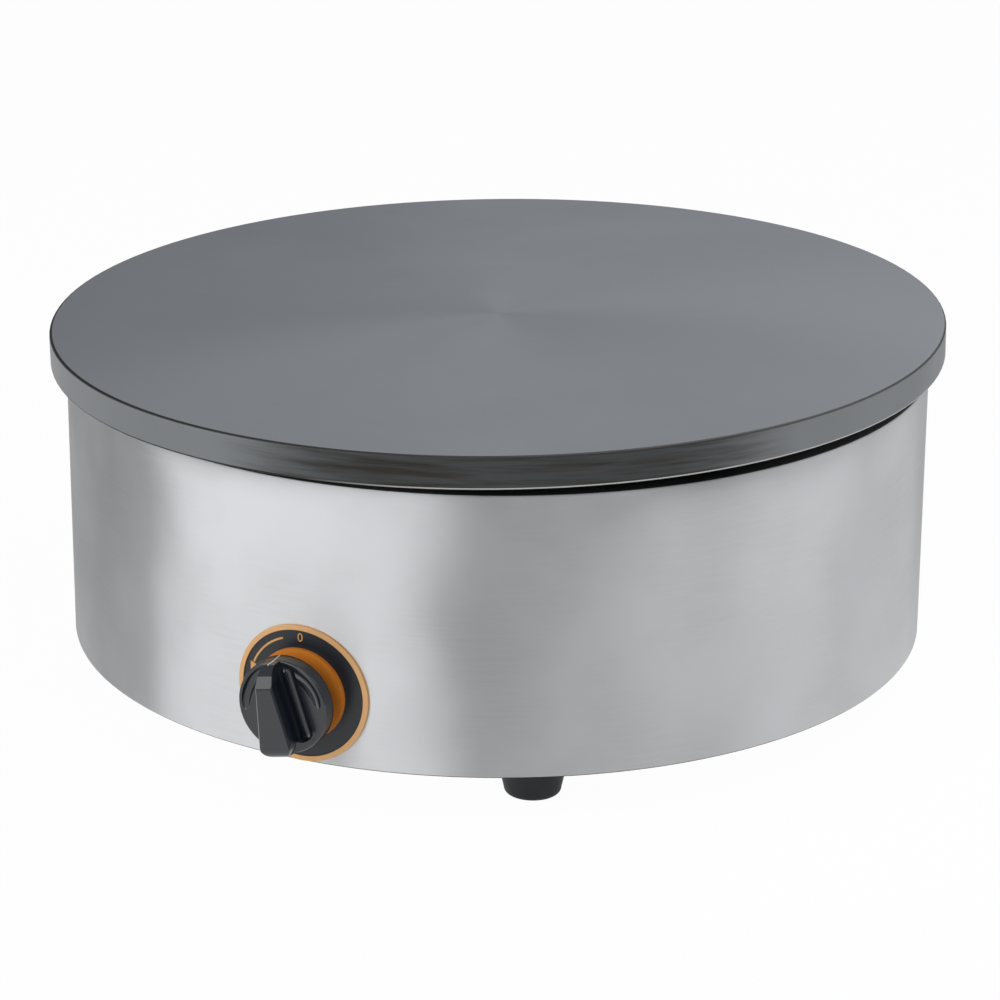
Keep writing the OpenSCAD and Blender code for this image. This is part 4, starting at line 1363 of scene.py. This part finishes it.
@dataclass
class IndexLine:
    """The white line let into the knob's side, which points at the dial's marks.

    Sizes are in millimetres.
    """

    hub: Point = (0.0, -193.0, 49.0)  # where the knob's axis meets the drum
    turn: float = 11.0  # degrees against the clock from the top, as the knob rests
    width: float = 0.84
    floor_r: float = 19.78  # from the knob's axis to the groove's floor
    # How far out from the drum, and how far from the knob's axis the filler's face is there
    edge_r: tuple[tuple[float, float], ...] = ((11.7, 20.3), (16.9, 20.05), (22.1, 19.98))
    steps: int = 12

    def face_r(self, out: float) -> float:
        """Gives how far the filler's face stands from the knob's axis.

        Args:
            out: distance from the drum.

        Returns:
            The radius, between those listed.
        """
        for (near, near_r), (far, far_r) in zip(self.edge_r, self.edge_r[1:]):
            if out <= far:
                return near_r + (far_r - near_r) * (out - near) / (far - near)
        return self.edge_r[-1][1]

    def build(self, palette: Palette) -> None:
        """Makes the filler and sets it in the groove.

        Args:
            palette: where the materials are kept.
        """
        back, front = self.edge_r[0][0], self.edge_r[-1][0]
        half = 0.5  # the grid starts one across and is drawn out to size
        mesh = bmesh.new()
        bmesh.ops.create_grid(mesh, x_segments=2, y_segments=self.steps, size=half)
        for vert in mesh.verts:
            out = back + (vert.co.y + half) * (front - back)
            vert.co = Vector((vert.co.x * self.width, self.face_r(out), out))
        grown = bmesh.ops.extrude_face_region(mesh, geom=mesh.faces[:])
        for vert in grown["geom"]:
            if isinstance(vert, bmesh.types.BMVert):
                vert.co.y = self.floor_r
        placing = (
            Matrix.Translation(self.hub)
            @ Matrix.Rotation(QUARTER_TURN, 4, "X")
            @ Matrix.Rotation(math.radians(self.turn), 4, "Z")
        )
        bmesh.ops.transform(mesh, verts=mesh.verts, matrix=Matrix.Scale(MM, 4) @ placing)
        piece = to_object("knob_index_line", mesh)
        palette.dress(piece, WHITE_FILLER)
        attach(piece, "knob")
        LOG.info("made %s", piece.name)


# ---- Studio ----


@dataclass
class Softbox:
    """A large, even lamp that faces the drum's middle."""

    name: str
    bearing: float  # degrees from the front, towards the right
    elevation: float  # degrees
    distance: float  # metres
    width: float
    height: float
    radiance: float
    target: Point = (0.0, 0.0, 0.09)

    def build(self) -> None:
        """Hangs the lamp."""
        lamp = bpy.data.lights.new(self.name, "AREA")
        lamp.shape = "RECTANGLE"
        lamp.size = self.width
        lamp.size_y = self.height
        lamp.energy = self.radiance * math.pi * self.width * self.height
        obj = bpy.data.objects.new(self.name, lamp)
        obj.visible_camera = False
        bearing, rise = math.radians(self.bearing), math.radians(self.elevation)
        way = Vector(
            (
                math.sin(bearing) * math.cos(rise),
                -math.cos(bearing) * math.cos(rise),
                math.sin(rise),
            )
        )
        obj.location = Vector(self.target) + way * self.distance
        obj.rotation_euler = way.to_track_quat("Z", "Y").to_euler()
        bpy.context.scene.collection.objects.link(obj)


@dataclass
class Studio:
    """Pale floor, soft lamps and the camera."""

    floor_r: float = 6.0  # metres
    floor_sides: int = 96
    floor_white: float = 0.975  # share of plain white in what the eye sees of the floor
    paper: float = 0.75  # what the floor gives back of the lamps' light
    surround: str = "#5E5F61"
    camera_at: Point = (0.66055, -1.44232, 0.6337)
    camera_pitch: float = 70.49  # degrees up from straight down
    camera_heading: float = 24.56
    camera_roll: float = 0.3
    lens_mm: float = 132.67
    sensor_mm: float = 36.0
    sight: float = 50.0  # metres
    lamps: list[Softbox] = field(
        default_factory=lambda: [
            # name, bearing, elevation, distance, width, height, radiance
            Softbox("left_softbox", -29, 26, 1.7, 2.58, 1.6, 1.95),
            Softbox("top_softbox", 100, 62, 0.65, 0.6, 0.6, 3.0),
            Softbox("right_softbox", 128, 26, 1.9, 2.7, 1.5, 0.8),
            Softbox("front_fill", 50, 26, 2.3, 1.8, 1.6, 0.4),
            Softbox("back_softbox", 190, 20, 2.0, 2.0, 0.9, 0.22),
        ]
    )

    def seen(self, tree: bpy.types.NodeTree) -> bpy.types.NodeSocket:
        """Tells rays from the eye, straight or by way of gloss and glass, from the lamps' own.

        Args:
            tree: the floor's tree.

        Returns:
            One for such a ray, zero for another.
        """
        path = add_node(tree, "LightPath").outputs
        eye = path["Is Camera Ray"]
        for way in ("Is Glossy Ray", "Is Transmission Ray"):
            eye = add_node(
                tree, "Math", {0: eye, 1: path[way]}, operation="MAXIMUM"
            ).outputs[0]
        return eye

    def floor(self) -> None:
        """Lays the pale floor, which shows plain white and keeps the shadow."""
        mesh = bmesh.new()
        bmesh.ops.create_circle(
            mesh, cap_ends=True, radius=self.floor_r, segments=self.floor_sides
        )
        obj = to_object("studio_floor", mesh)
        material = bpy.data.materials.new("white_paper")
        material.use_nodes = True
        tree = material.node_tree
        tree.nodes.clear()
        share = add_node(
            tree,
            "Math",
            {0: self.seen(tree), 1: self.floor_white},
            operation="MULTIPLY",
        )
        paper = add_node(tree, "BsdfDiffuse", {"Color": (*(self.paper,) * 3, 1.0)})
        white = add_node(tree, "Emission", {"Color": (1, 1, 1, 1), "Strength": 1.0})
        both = add_node(
            tree,
            "MixShader",
            {0: share.outputs[0], 1: paper.outputs[0], 2: white.outputs[0]},
        )
        add_node(tree, "OutputMaterial", {"Surface": both.outputs[0]})
        obj.data.materials.append(material)

    def world(self) -> None:
        """Gives the room an even grey."""
        world = bpy.data.worlds.new("studio")
        world.use_nodes = True
        tree = world.node_tree
        tree.nodes.clear()
        room = add_node(
            tree, "Background", {"Color": linear(self.surround), "Strength": 1.0}
        )
        add_node(tree, "OutputWorld", {"Surface": room.outputs[0]})
        bpy.context.scene.world = world

    def camera(self) -> None:
        """Stands the camera at the front right, above the plate."""
        lens = bpy.data.cameras.new("camera")
        lens.lens = self.lens_mm
        lens.sensor_width = self.sensor_mm
        lens.clip_end = self.sight
        obj = bpy.data.objects.new("camera", lens)
        turn = (
            Matrix.Rotation(math.radians(self.camera_heading), 4, "Z")
            @ Matrix.Rotation(math.radians(self.camera_pitch), 4, "X")
            @ Matrix.Rotation(math.radians(self.camera_roll), 4, "Z")
        )
        obj.matrix_world = Matrix.Translation(self.camera_at) @ turn
        bpy.context.scene.collection.objects.link(obj)
        bpy.context.scene.camera = obj

    def build(self) -> None:
        """Sets up the whole studio."""
        self.camera()
        self.floor()
        self.world()
        for lamp in self.lamps:
            lamp.build()
        bpy.context.scene.view_settings.view_transform = "Standard"


def main() -> None:
    """Builds the studio, dresses the solids and adds the new pieces."""
    logging.basicConfig(level=logging.INFO, format="%(name)s: %(message)s")
    for obj in list(bpy.data.objects):
        bpy.data.objects.remove(obj)
    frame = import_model()
    Studio().build()
    palette = Palette()
    CarriedSolids(frame["nodes"]).dress(palette)
    DrumShell().build(palette)
    RubberFeet().build(palette)
    DialMarks().build(palette)
    IndexLine().build(palette)


if __name__ == "__main__":
    main()
